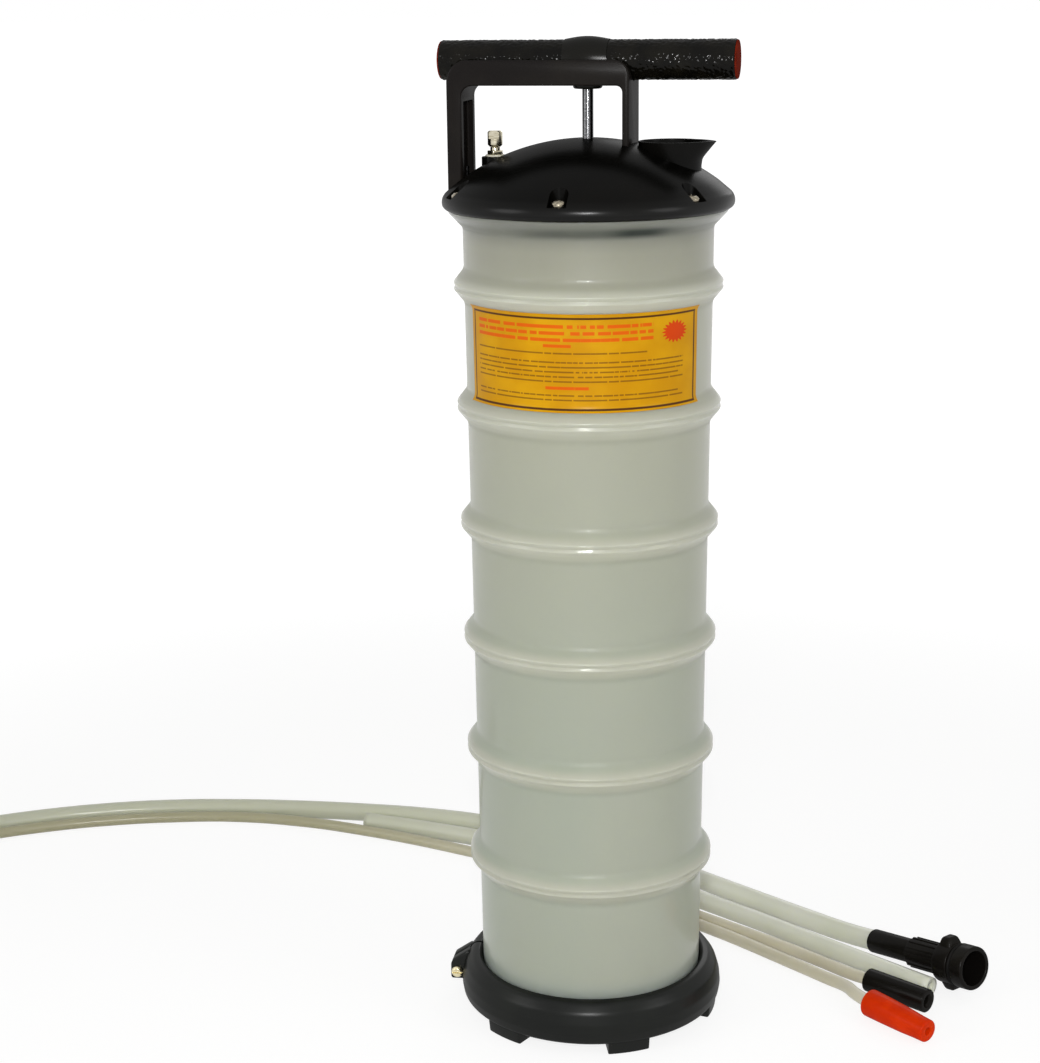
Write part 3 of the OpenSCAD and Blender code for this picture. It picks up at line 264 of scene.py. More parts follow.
def turned(outline, steps=96, angle=math.tau):
    """A shape turned about Z from an outline of (radius, height) in millimetres."""
    bm = bmesh.new()
    points = [bm.verts.new((r / 1000, 0, z / 1000)) for r, z in outline]
    sides = [bm.edges.new(pair) for pair in zip(points, points[1:])]
    bmesh.ops.spin(bm, geom=points + sides, axis=(0, 0, 1), cent=(0, 0, 0), angle=angle, steps=steps,
                   use_merge=angle == math.tau)
    bmesh.ops.remove_doubles(bm, verts=bm.verts, dist=1e-7)
    bmesh.ops.recalc_face_normals(bm, faces=bm.faces)
    return bm


def soften(shape, edges, offset, segments=3):
    """Rounds those edges, by an offset in millimetres."""
    bmesh.ops.bevel(shape, geom=edges, offset=offset / 1000, affect="EDGES", segments=segments, profile=0.5,
                    material=-1, clamp_overlap=True)
    return shape


def block(size, at, edge=0.0, segments=3):
    """A box of that size in millimetres, its edges rounded."""
    bm = bmesh.new()
    bmesh.ops.create_cube(bm, size=0.001)
    bmesh.ops.scale(bm, vec=size, verts=bm.verts)
    bmesh.ops.translate(bm, vec=Vector(at) / 1000, verts=bm.verts)
    return soften(bm, bm.edges[:], edge, segments) if edge else bm


def joined(*shapes):
    """Several shapes in one mesh."""
    whole = bmesh.new()
    for shape in shapes:
        mesh = bpy.data.meshes.new("part")
        shape.to_mesh(mesh)
        whole.from_mesh(mesh)
        bpy.data.meshes.remove(mesh)
        shape.free()
    return whole


def moved(shape, matrix):
    """The shape itself, put in its place."""
    bmesh.ops.transform(shape, matrix=matrix, verts=shape.verts)
    return shape


def copied(shape, matrices):
    """One copy of a shape for each place."""
    copies = joined(*[moved(shape.copy(), matrix) for matrix in matrices])
    shape.free()
    return copies


def show(name, shape, finish, body, node, crease=32):
    """Makes the finished piece and puts it in the frame in place of its solid."""
    mesh = bpy.data.meshes.new(name)
    shape.to_mesh(mesh)
    shape.free()
    mesh.shade_smooth()
    mesh.set_sharp_from_angle(angle=math.radians(crease))
    mesh.materials.append(finish.material)
    piece = bpy.data.objects.new(name, mesh)
    bpy.context.scene.collection.objects.link(piece)
    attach(piece, body)
    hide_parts(node)
    return piece


def turn_z(degrees):
    return Matrix.Rotation(math.radians(degrees), 4, "Z")


def shift(x, y, z):
    return Matrix.Translation(Vector((x, y, z)) / 1000)


def lying(at, turn, tilt):
    """Places a shape made along Z on the floor, its far end turned and tilted."""
    return shift(*at) @ turn_z(turn) @ Matrix.Rotation(math.radians(90 - tilt), 4, "Y")


def black_moulding(name, dark, worn, gloss, shine):
    """Black thermoplastic: fine spark-eroded grain, faint flow marks and a little dust."""
    finish = Finish(name, specular_ior_level=0.0, coat_roughness=gloss)
    haze = finish.noise(28, 4)
    grain = finish.noise(1400, 2)
    finish.colour(finish.blend(haze.rise(0.35, 0.75), dark, worn))
    finish.rough(gloss + 0.1 + haze * 0.14 + grain * 0.06)
    finish.coat(shine * (1.25 - haze * 0.5))
    finish.relief(grain + finish.noise(60, 2) * 0.4, 0.0001, 0.45)
    return finish


black_nylon = black_moulding("black_nylon", paint(18, 16, 14), paint(27, 25, 21), 0.26, 0.16)
connector_place = lying((188.7, 62, 9.1), -50.5, 8)
sleeve_shape = turned(rounded([(7, 0), (7.8, 0, 0.5), (7.8, 34, 0.5), (7, 34), (7, 0)], steps=4), 48)
connector_sleeve = show("connector_sleeve_shrunk", moved(sleeve_shape, connector_place), black_nylon,
                        "extractor", "connector_sleeve")
connector_core = turned(rounded([
    (4, 12), (6.9, 12, 0.6), (6.9, 34.05), (9.4, 34.05, 0.9), (9.4, 61), (13.5, 61, 1.2),
    (13.5, 73, 1.0), (11.7, 73, 0.4), (11.7, 76.5, 0.4), (14, 76.5, 0.7), (14, 86, 1.2), (11, 86, 1.0),
    (11, 65), (4, 65), (4, 12),
]), 64)
grip_rib_count = 14
grip_rib_turns = [turn_z(360 * i / grip_rib_count) for i in range(grip_rib_count)]
grip_ribs = copied(block((1.3, 1.5, 24.5), (9.45, 0, 47.5), 0.35), grip_rib_turns)
lug_long, lug_foot, lug_mid, lug_narrowing = 7.4, 10.2, 66.9, 0.4
lock_lug = block((lug_long, 14, 11.4), (lug_foot + lug_long / 2, 0, lug_mid), 2.4, 4)
for corner in lock_lug.verts:
    share = 1 - lug_narrowing * (corner.co.x * 1000 - lug_foot) / lug_long
    corner.co.y *= share
    corner.co.z = lug_mid / 1000 + (corner.co.z - lug_mid / 1000) * share
lock_lugs = copied(lock_lug, [turn_z(0), turn_z(180)])
connector_shape = moved(joined(connector_core, grip_ribs, lock_lugs), connector_place)
connector_body = show("connector_bayonet", connector_shape, black_nylon, "extractor", "connector_body")


# Adapter on the end of the slim dip tube: a plain black rubber-like sleeve with a chamfered mouth, into
# which a finer tube is pushed.
adapter_shape = turned(rounded([
    (4.2, 0), (7.5, 0, 1.1), (7.5, 45, 0.8), (4.6, 45, 0.4), (3.2, 43.2), (3.2, 20), (4.2, 20), (4.2, 0),
]), 48)
adapter_place = lying((177.6, 8.2, 7.6), -42, 0)
adapter = show("adapter_black", moved(adapter_shape, adapter_place), black_nylon, "extractor",
               "adapter_sleeve")


# Red nozzle on the short tube: a soft orange-red polyethylene moulding, thick at the tube and tapering
# to a round tip with a narrow bore.
def red_moulding(name, bright, deep, gloss, shine):
    """Coloured polyethylene, a little cloudy, with a faintly uneven skin."""
    finish = Finish(name, subsurface_weight=0.15, subsurface_radius=(0.002, 0.0008, 0.0005),
                    subsurface_scale=1.0, specular_ior_level=0.0, coat_weight=shine, coat_roughness=gloss)
    mottle = finish.noise(70, 3)
    finish.colour(finish.blend(mottle.rise(0.3, 0.75), deep, bright))
    finish.rough(gloss + finish.noise(160, 2) * 0.14)
    finish.relief(finish.noise(420, 3), 0.00025, 0.35)
    return finish


nozzle_red = red_moulding("nozzle_red", paint(222, 56, 5), paint(206, 46, 3), 0.3, 0.14)
nozzle_shape = turned(rounded([
    (4.2, 0), (5.8, 0, 0.6), (8.7, 0.3, 1.8), (8.5, 14, 30), (8, 30, 30), (7.3, 41, 14), (7.1, 48, 1.2),
    (2.6, 48, 0.5), (2.5, 20), (4.2, 20), (4.2, 0),
]), 48)
nozzle_place = lying((173.6, -25.5, 8.9), -49, -1.5)
nozzle = show("nozzle_red_moulding", moved(nozzle_shape, nozzle_place), nozzle_red, "extractor",
              "red_nozzle")


# Foot ring: a split ring of black rubber-like plastic that grips the foot of the tank. It bulges out,
# stands on six short feet and is drawn together by a brass screw in the lug at its slit.
def carved(solid, *tools):
    """The solid with the tools cut out of it."""
    def stand_in(shape):
        mesh = bpy.data.meshes.new("cut")
        shape.to_mesh(mesh)
        shape.free()
        thing = bpy.data.objects.new("cut", mesh)
        bpy.context.scene.collection.objects.link(thing)
        return thing

    things = [stand_in(shape) for shape in (solid, *tools)]
    for tool in things[1:]:
        cut = things[0].modifiers.new("cut", "BOOLEAN")
        cut.operation, cut.solver, cut.object = "DIFFERENCE", "EXACT", tool
    left = bmesh.new()
    seen = things[0].evaluated_get(bpy.context.evaluated_depsgraph_get())
    left.from_mesh(seen.to_mesh())
    seen.to_mesh_clear()
    for thing in things:
        mesh = thing.data
        bpy.data.objects.remove(thing)
        bpy.data.meshes.remove(mesh)
    return left


ring_black = black_moulding("ring_black", paint(14, 16, 14), paint(25, 27, 24), 0.3, 0.36)
ring_section = turned(rounded([
    (54.2, 7, 1), (78.6, 7, 2), (81, 8.4, 3), (82, 14, 6), (81.5, 20, 12), (79.4, 27, 9), (75.2, 32.7, 5),
    (71, 33.2, 1.5), (69.2, 31.8, 0.5), (68.4, 12.95), (54.2, 12.95, 1),
], closed=True, steps=7), 128)
lug_place = turn_z(173)
slit_wide = 2
slit = moved(block((40, slit_wide, 60), (82, 0, 20)), lug_place)
foot_count, foot_wide, front_foot = 6, 19, -73
foot_section = rounded([(57.2, 0, 0.8), (79.2, 0, 1.2), (80.3, 10, 0.8), (57.2, 10, 0.8)], closed=True)
foot = turned(foot_section, 10, math.radians(foot_wide))
bmesh.ops.holes_fill(foot, edges=[edge for edge in foot.edges if edge.is_boundary], sides=0)
corners = [edge for edge in foot.edges if len(edge.link_faces) == 2 and edge.calc_face_angle(0) > 1.2]
soften(foot, corners, 0.7, 2)
foot_turns = [turn_z(front_foot - foot_wide / 2 + 360 / foot_count * i) for i in range(foot_count)]
feet = copied(foot, foot_turns)
ear_size, ear_at, ear_aside = (13, 7, 20), (83.2, 20), 4.5
lug_ears = joined(*[block(ear_size, (ear_at[0], y, ear_at[1]), 1.6) for y in (ear_aside, -ear_aside)])
slope_from, slope_long, slope_drop = 0.0835, 0.0062, 0.009
for corner in lug_ears.verts:
    if corner.co.z > 0.02:
        corner.co.z -= slope_drop * max(0, (corner.co.x - slope_from) / slope_long)
ring_shape = joined(carved(ring_section, slit), feet, moved(lug_ears, lug_place))
show("foot_ring_moulding", ring_shape, ring_black, "extractor", "base_ring")


# Clamp screw of the foot ring: a pan head with a slot, turned from brass. It goes through both ears of the
# lug, and a brass nut at the back draws them together.
def turned_metal(name, bright, shaded_far_left, gloss, scale):
    """Metal with fine streaks from turning or drawing."""
    finish = Finish(name, metallic=1.0)
    streak = finish.noise(scale, 3, (1, 1, 6))
    finish.colour(finish.blend(streak.rise(0.3, 0.7), shaded_far_left, bright))
    finish.rough(gloss + streak * 0.1)
    finish.relief(streak, 0.00003, 0.3)
    return finish


def hexagon(across_corners, low, high):
    """A six-sided nut with eased edges."""
    bm = bmesh.new()
    r = across_corners / 2000
    bmesh.ops.create_cone(bm, cap_ends=True, segments=6, radius1=r, radius2=r, depth=(high - low) / 1000)
    soften(bm, bm.edges[:], 0.3, 2)
    return moved(bm, shift(0, 0, (low + high) / 2))


brass = turned_metal("brass", paint(236, 228, 194), paint(208, 194, 152), 0.24, 240)
clamp_line = rounded([
    (0, 2.7), (2.6, 2.7, 0.8), (3.6, 1.4, 0.8), (3.6, 0, 0.2), (2, 0), (2, -20), (0, -20),
])
clamp_head = carved(turned(clamp_line, 32), block((9, 0.9, 2.4), (0, 0, 2.9)))
clamp_place = lug_place @ shift(85.3, 8.05, 15.5) @ Matrix.Rotation(-math.pi / 2, 4, "X")
clamp_shape = joined(clamp_head, hexagon(7.4, -19.1, -16.1))
show("clamp_screw_brass", moved(clamp_shape, clamp_place), brass, "extractor", "ring_clamp_screw",
     40)


# Tank: blow-moulded natural polyethylene, milky and faintly green, with six hollow ribs, grooved at the
# crest, and a flange. The ribs look paler. A lighter band under each rib is painted light, the wall is
# painted darker towards the lid as painted shade, and the dark band under the flange is the lid's spigot
# showing through, with painted shadow of the lid.
tank_base, tank_top, tank_wall = 13, 502, 2.5
base_r, top_r = 68.2, 73.5
taper = (top_r - base_r) / (tank_top - tank_base)
first_rib, rib_pitch, rib_count = 103, 71, 6
rib_half, rib_out, crest_half, groove = 9.5, 6.1, 2, 0.7


def barrel(height):
    """Radius of the tank's wall at a height."""
    return base_r + taper * (height - tank_base)


outside = [(0, tank_base), (barrel(tank_base), tank_base, 6)]
for i in range(rib_count):
    centre = first_rib + rib_pitch * i
    low, high = centre - rib_half, centre + rib_half
    crest = barrel(centre) + rib_out
    outside += [(barrel(low), low, 7), (crest, centre - crest_half, 0.9), (crest - groove, centre, 0.9)]
    outside += [(crest, centre + crest_half, 0.9), (barrel(high), high, 7)]
neck, flange_r = 492, 82
outside += [(barrel(neck), neck, 4), (81.2, 500.2, 1.2), (flange_r, tank_top, 0.4), (71, tank_top, 0.8)]
floor_top = tank_base + tank_wall
inside = [(barrel(480) - tank_wall, 480), (barrel(24) - tank_wall, 24)]
inside += [(barrel(tank_base) - tank_wall, floor_top, 5), (0, floor_top)]
milky = Finish("milky_polyethylene", subsurface_weight=0.7, subsurface_radius=(0.01, 0.01, 0.008),
               subsurface_scale=1.0, specular_ior_level=0.35, ior=1.5, coat_roughness=0.07)
across, deep, height = milky.axes()
reach = (across * across + deep * deep).math("SQRT")
round_about = across.math("ARCTAN2", deep * -1)
proud = reach - ((height - tank_base / 1000) * taper + base_r / 1000)
cloud = milky.noise(9, 3, (1, 1, 0.35))
streak = milky.noise(70, 2, (1, 1, 0.06))
tint_with_painted_shade = milky.blend(height.rise(0.1, 0.46), paint(167, 174, 158), paint(170, 171, 153))
tint_with_painted_shade = milky.blend(cloud.rise(0.35, 0.7) * 0.5, tint_with_painted_shade, paint(176, 177, 160))
# Painted shade: the wall is painted darker towards the lid, which shades it.
tint_with_painted_shade = milky.blend(height.rise(0.44, 0.486) * 0.9, tint_with_painted_shade, paint(148, 148, 133))
on_rib = proud.rise(0.002, 0.0055) * (1 - height.rise(0.47, 0.48))
tint_with_painted_shade = milky.blend(on_rib, tint_with_painted_shade, paint(181, 182, 167))
# Painted light: a lighter band just under each rib, where the rib's shade falls.
ribs_up = (height * 1000 - first_rib) / rib_pitch + 0.5
from_rib = (ribs_up - ribs_up.math("FLOOR") - 0.5) * rib_pitch
painted_light_under_rib = from_rib.band(-8.4, -3, 1.6) * height.band(0.08, 0.47, 0.004)
tint_with_painted_shade = milky.blend(painted_light_under_rib * 0.55, tint_with_painted_shade, paint(196, 197, 181))
# Painted shade: darker still right under the lid's overhang.
tint_with_painted_shade = milky.blend(height.rise(0.482, 0.497) * 0.8, tint_with_painted_shade, paint(110, 113, 106))
# The lid's spigot showing through the wall, with painted shadow of the lid, darker on one side.
spigot_and_painted_shadow = height.band(0.4925, 0.4975, 0.002) * (0.45 + round_about.band(0.2, 0.58, 0.14) * 0.5)
tint_with_painted_shade = milky.blend(spigot_and_painted_shadow * round_about.band(-0.5, 0.75, 0.25), tint_with_painted_shade, paint(34, 44, 40))
tint_with_painted_shade = milky.blend((1 - height.rise(0.028, 0.046)) * 0.5, tint_with_painted_shade, paint(158, 170, 168))
milky.colour(tint_with_painted_shade)
milky.rough(0.32 + cloud * 0.1 + streak * 0.06)
wall_shine = 0.3 * (1 - proud.rise(0.0, 0.0002))
milky.coat(0.05 + wall_shine + proud.rise(0.0038, 0.0048) * 0.4)
milky.relief(milky.noise(26, 2, (1, 1, 0.5)) + streak * 0.25, 0.0004, 0.2)
tank_line = rounded(outside, steps=6)
tank_shape = turned(tank_line + rounded(inside, steps=6), 160)
show("tank_blow_moulding", tank_shape, milky, "extractor", "tank", 60)


# Label: a printed yellow film bonded round the front of the tank between two ribs and running up on their
# roots, with a brown frame, rows of plain broken bars and a red scalloped spot.
film = Finish("label_film", specular_ior_level=0.08, coat_weight=0.06, coat_roughness=0.2)
label_low, label_high, label_r, label_arc = 392.4, 452.6, 72.8, 124
film_lift, film_thick = 0.16, 0.00012
across, deep, tall = film.axes()
turn = across.math("ARCTAN2", deep * -1) * label_r
line = tall * 1000 - label_low
aged = film.noise(40, 3)
ground = film.blend(aged.rise(0.3, 0.75), paint(196, 138, 4), paint(210, 155, 8))
print_red, print_brown = paint(216, 80, 6), paint(112, 70, 12)
wide_frame = turn.band(-81, 70.8, 0.2) * line.band(3.2, 56.0, 0.2)
inner_frame = turn.band(-79.8, 69.5, 0.2) * line.band(4.4, 54.8, 0.2)


def bars(count, low, pitch, thick, left, right, gap_scale):
    """Rows of plain bars: count rows upwards from low, broken by uneven gaps."""
    row = (line - low) / pitch
    step = row.math("FLOOR")
    spot = film.add("CombineXYZ", None, {0: turn * gap_scale, 1: step * 7.3})
    patchy = film.add("TexNoise", None, {"Vector": spot, "Scale": 1.0, "Detail": 0.0}, "Fac")
    inside_row = (row - step).band(0.15, 0.15 + thick / pitch, 0.06)
    inside_rows = step.band(-0.5, count - 0.5, 0.1)
    return inside_row * patchy.rise(0.33, 0.38) * inside_rows * turn.band(left, right, 0.5)


ink = film.blend(wide_frame - inner_frame, ground, paint(78, 46, 12))
ink = film.blend(bars(3, 41.7, 3.75, 2.0, -75, 38, 0.36) * 0.85, ink, print_red)
ink = film.blend(bars(1, 38.4, 3.5, 1.8, -28, -10, 0.2) * 0.85, ink, print_red)
ink = film.blend(bars(1, 34.8, 2.7, 0.9, -75, 34, 0.6) * 0.75, ink, print_brown)
ink = film.blend(bars(5, 18.8, 2.72, 0.9, -75, 60, 0.6) * 0.75, ink, print_brown)
ink = film.blend(bars(1, 14.5, 3.5, 1.8, -25, 0, 0.2) * 0.85, ink, print_red)
ink = film.blend(bars(2, 8.3, 2.6, 0.9, -75, 60, 0.6) * 0.75, ink, print_brown)
aside, up = (turn - 53.4) / 9.6, (line - 45.4) / 6.4
scallop = (up.math("ARCTAN2", aside) * 18).math("COSINE") * 0.12 + 0.88
from_middle = (aside * aside + up * up).math("SQRT")
ink = film.blend((scallop - from_middle).rise(-0.05, 0.05) * 0.9, ink, paint(206, 46, 8))
film.colour(ink)
film.rough(0.34 + aged * 0.15)
film.relief(film.noise(120, 2), 0.0001, 0.25)
wall = [(r, z) for r, z in tank_line if label_low < z < label_high]
steps_up = 14
flat_low, flat_high = [(a[1], b[1]) for a, b in zip(wall, wall[1:]) if b[1] - a[1] > 20][0]
heights = [flat_low + (flat_high - flat_low) * k / steps_up for k in range(1, steps_up)]
root_below = [spot for spot in wall if spot[1] <= flat_low]
root_above = [spot for spot in wall if spot[1] >= flat_high]
wall = root_below + [(barrel(z), z) for z in heights] + root_above
label_shape = turned([(r + film_lift, z) for r, z in wall], 72, math.radians(label_arc))
bmesh.ops.solidify(label_shape, geom=label_shape.faces[:], thickness=-film_thick)
label_start = turn_z(-156)
show("label_bars", moved(label_shape, label_start), film, "extractor", "tank_label", 60)


# Lid: an injection-moulded black dome with a rolled rim, screwed down on the flange. The spout with its
# pouring lip, the vent's flat seat and the pockets of the six screws are part of the same moulding.
lid_turn = turn_z(-12)
dome_reach, dome_rise, dome_top, lid_wall = 85, 32, 542, 3.5
dome_r = (dome_reach ** 2 + dome_rise ** 2) / (2 * dome_rise)
dome_mid = dome_top - dome_r


def dome(radius):
    """Height of the dome at a radius."""
    return dome_mid + math.sqrt(dome_r ** 2 - radius ** 2)


def drum(radius, low, high, at=(0, 0), steps=48):
    """A plain round tool for cutting."""
    return moved(turned([(0, low), (radius, low), (radius, high), (0, high)], steps), shift(*at, 0))


lid_shine = 0.13
lid_black = black_moulding("lid_black", paint(4, 4, 3), paint(13, 12, 10), 0.25, lid_shine)
across, _, height = lid_black.axes()
handled = (1 - height.rise(0.506, 0.514)) * 1.8 + across.rise(0.03, 0.075) * 0.6
lid_black.coat(lid_shine * (1.25 - lid_black.noise(28, 4) * 0.5) * (1 + handled))
rod_hole, collar_base, rim_r, spigot_r, spigot_in = 7.3, 532, 85.2, 70.6, 67.6
crown = [(r, dome(r)) for r in (rod_hole, 10, *range(13, 77, 3))]
rolled = rounded([(76, dome(76)), (rim_r, 509.5, 7), (rim_r, tank_top, 3.8), (79, tank_top)], steps=8)
spigot_line = [(spigot_r, tank_top), (spigot_r, neck), (spigot_in, neck), (spigot_in, 516)]
under = [(r, dome(r) - lid_wall) for r in range(66, 11, -6)]
lid_outline = [(rod_hole, collar_base), *crown, *rolled[1:], *spigot_line, *under]
lid_outline += [(12, collar_base), (rod_hole, collar_base)]
screw_count, screw_ring, pocket_r, pocket_base = 6, 77.1, 5.3, 510
clear_top = 560
pockets = []
for i in range(screw_count):
    pocket_turn = turn_z(30 + 360 / screw_count * i)
    pockets.append(moved(drum(pocket_r, pocket_base, clear_top, (screw_ring, 0)), pocket_turn))
    pockets.append(moved(block((20, 2 * pocket_r, 50), (screw_ring + 10, 0, 535)), pocket_turn))
seat, seat_top, seat_base, vent_hole = (-55.4, 0), 530.9, 518.9, 3.1
spout_at, spout_base, spout_bore, spout_r, lip_r = (49, 0), 510.5, 14.2, 17.2, 19.1
dome_shape = carved(turned(lid_outline, 160), drum(17, 490, clear_top, spout_at),
                    drum(8.4, seat_top, clear_top, seat), drum(vent_hole, 500, clear_top, seat), *pockets)
vent_boss = turned(rounded([
    (vent_hole, seat_base), (8, seat_base), (8, seat_top, 0.5), (vent_hole, seat_top), (vent_hole, seat_base),
]), 48)
spout_line = [(spout_bore, spout_base), (spout_r, spout_base)]
spout_line += [(spout_r + (lip_r - spout_r) * k / 8, 526.5 + 13.8 * k / 8) for k in range(9)]
spout_line += [(18.9, 540.55), (18.0, 540.55), (17.75, 540.3)]
spout_line += [(17.7 - 3.5 * k / 6, 540 - 9.5 * k / 6) for k in range(7)] + [(spout_bore, spout_base)]
spout_shape = turned(spout_line, 96)
lip_half, lip_from, lip_tall, lip_out = math.radians(54), 0.5305, 0.010, 0.36
for corner in spout_shape.verts:
    aside = abs(math.atan2(corner.co.y, corner.co.x)) / lip_half
    lift = (corner.co.z - lip_from) / lip_tall
    if aside < 1 and lift > 0:
        corner.co.xy *= 1 + lip_out * lift * (1 - aside) ** 1.3
lid_shape = joined(dome_shape, moved(vent_boss, shift(*seat, 0)), moved(spout_shape, shift(*spout_at, 0)))
show("lid_moulding", moved(lid_shape, lid_turn), lid_black, "extractor", "lid", 30)


# Lid screws: plated brass pan heads with a cross recess. They sit in the pockets at the edge of the dome and
# hold the lid down on the tank's flange.
screw_head = turned(rounded([
    (0, 513.4), (3, 513.4, 1.4), (4.8, 511.8, 0.9), (4.8, 510.05, 0.2), (2, 510.05), (2, 498), (0, 498),
]), 32)
recess_at = (0, 0, 512.8)
screw_shape = carved(screw_head, block((4.6, 1, 3), recess_at), block((1, 4.6, 3), recess_at))
screw_places = []
for i in range(screw_count):
    screw_places.append(turn_z(18 + 360 / screw_count * i) @ shift(screw_ring, 0, 0) @ turn_z(25 * i))
screw_plate = turned_metal("screw_plate", paint(172, 164, 146), paint(104, 96, 80), 0.16, 500)
show("lid_screws_plated", copied(screw_shape, screw_places), screw_plate, "extractor", "lid_screws",
     35)


# Carry handle: a black arch over the lid, moulded with soft edges. A half-round cradle along its top takes
# the T-handle, with a wider pocket for the hub.
arch_foot, arch_top, arch_under, arch_deep = 504, 586.4, 572, 0.032
left_out, left_in, right_in, right_out = -80.2, -71.4, 23, 27
arch_line = rounded([
    (left_out, arch_foot), (left_out, arch_top, 12), (right_out, arch_top, 9), (right_out, arch_foot),
    (right_in, arch_foot), (right_in, arch_under, 3.6), (left_in, arch_under, 6.6), (left_in, arch_foot),
], steps=8)
arch = bmesh.new()
arch_face = arch.faces.new([arch.verts.new((x / 1000, -arch_deep / 2, z / 1000)) for x, z in arch_line])
pushed = bmesh.ops.extrude_face_region(arch, geom=[arch_face])["geom"]
far_side = [corner for corner in pushed if isinstance(corner, bmesh.types.BMVert)]
bmesh.ops.translate(arch, vec=(0, arch_deep, 0), verts=far_side)
bmesh.ops.recalc_face_normals(arch, faces=arch.faces)
rims = [e for e in arch.edges if len(e.link_faces) == 2 and abs(e.verts[0].co.y - e.verts[1].co.y) < 1e-6]
soften(arch, rims, 1.1)
grip_z, cradle_r, hub_pocket_r, hub_pocket_long = 586, 11.9, 13.7, 26.8


def rod_along(radius, length, at_z, steps=64):
    """A round tool along the handle."""
    bar = turned([(0, -length / 2), (radius, -length / 2), (radius, length / 2), (0, length / 2)], steps)
    return moved(bar, shift(0, 0, at_z) @ Matrix.Rotation(math.pi / 2, 4, "Y"))


core = block((5.5, 22, 70), (-72.6, 0, 528), 1.2)
boss_slot = block((hub_pocket_long, 12, 14), (0, 0, 577))
arch_shape = carved(arch, core, rod_along(cradle_r, 300, grip_z),
                    rod_along(hub_pocket_r, hub_pocket_long, grip_z), drum(8.9, 560, 580), boss_slot)
handle_black = black_moulding("handle_black", paint(21, 18, 17), paint(31, 28, 25), 0.26, 0.17)
show("carry_handle_moulding", moved(arch_shape, lid_turn), handle_black, "extractor", "carry_handle",
     40)


# Pump rod: a drawn steel bar, ground bright. It slides in the bush at the top of the dome, with the piston on
# its lower end and the T-handle on top.
steel = turned_metal("ground_steel", paint(112, 112, 113), paint(74, 75, 77), 0.14, 420)
rod_r, rod_base, rod_top = 3.25, 172.5, 583
rod_outline = rounded([(0, rod_base), (rod_r, rod_base, 0.5), (rod_r, rod_top, 0.5), (0, rod_top)])
show("pump_rod_ground", turned(rod_outline, 48), steel, "pump", "pump_rod")


# T-handle: a stout tube with a glossy black grip coating, pebbled all over. A smooth swelling hub holds it in
# the middle and is pinned to the rod through the boss under it.
pebbled = Finish("pebbled_grip", specular_ior_level=0.0, coat_weight=0.22, coat_roughness=0.13)
mottle = pebbled.noise(90, 3)
pebbled.colour(pebbled.blend(mottle.rise(0.35, 0.7), paint(8, 7, 5), paint(19, 17, 12)))
pebbled.rough(0.3 + mottle * 0.16)
pebbled.relief(pebbled.noise(1800, 2), 0.0001, 0.4)
grip_r, grip_half, tube_in, end_r = 11.5, 86, 8.5, 11.1
pebble_size, pebble_depth, pebble_reach = 1.9, 0.36, 0.7
coating = [(grip_r, grip_half * k / 170 - 0.5) for k in range(-168, 171)]
grip_line = [(tube_in, -grip_half), (end_r, -grip_half), *coating, (end_r, grip_half)]
grip_line += [(tube_in, grip_half), (tube_in, -grip_half)]
grip_shape = turned(grip_line, 144)
for point in grip_shape.verts:
    radius = math.hypot(point.co.x, point.co.y)
    if radius * 1000 > grip_r - 0.1:
        from_centre = noise.voronoi(point.co * 1000 / pebble_size)[0][0]
        point.co.xy *= 1 - pebble_depth * min(from_centre / pebble_reach, 1) ** 2 / grip_r
grip_place = lid_turn @ shift(0, 0, grip_z) @ Matrix.Rotation(math.pi / 2, 4, "Y")
show("handle_grip", moved(grip_shape, grip_place), pebbled, "pump", "handle_tube", 60)
hub_black = black_moulding("hub_black", paint(16, 15, 12), paint(24, 23, 19), 0.22, 0.24)
hub_in, hub_half, boss_in, boss_r, boss_base, boss_top = 11.55, 13, 3.3, 8.5, 569.8, 577
swell = [(11.7 + 1.6 * math.cos(math.pi * k / 24), hub_half * k / 12) for k in range(-12, 13)]
hub_sleeve = turned([(hub_in, -hub_half), *swell, (hub_in, hub_half), (hub_in, -hub_half)], 64)
hub_boss = turned(rounded([
    (boss_in, boss_base), (boss_r, boss_base, 1.4), (boss_r, boss_top), (boss_in, boss_top),
    (boss_in, boss_base),
]), 64)
hub_shape = joined(moved(hub_sleeve, grip_place), hub_boss)
show("handle_hub_moulding", hub_shape, hub_black, "pump", "handle_hub")


# End plugs of the T-handle: thin dark red caps with a rounded edge, moulded in polyethylene and pressed into
# the two ends of the tube.
plug_red = red_moulding("plug_red", paint(116, 34, 18), paint(94, 24, 11), 0.3, 0.02)
plug_line = rounded([
    (0, 87.2), (8.5, 87.2, 3), (10.8, 86.9, 0.4), (11.1, 86.05, 0.2), (8.4, 86.05), (8.4, 74), (0, 74),
])
about = Matrix.Rotation(math.pi, 4, "X")
facing = {"handle_plug_right": grip_place, "handle_plug_left": grip_place @ about}
for node, place in facing.items():
    show(node + "_cap", moved(turned(plug_line, 48), place), plug_red, "pump", node)


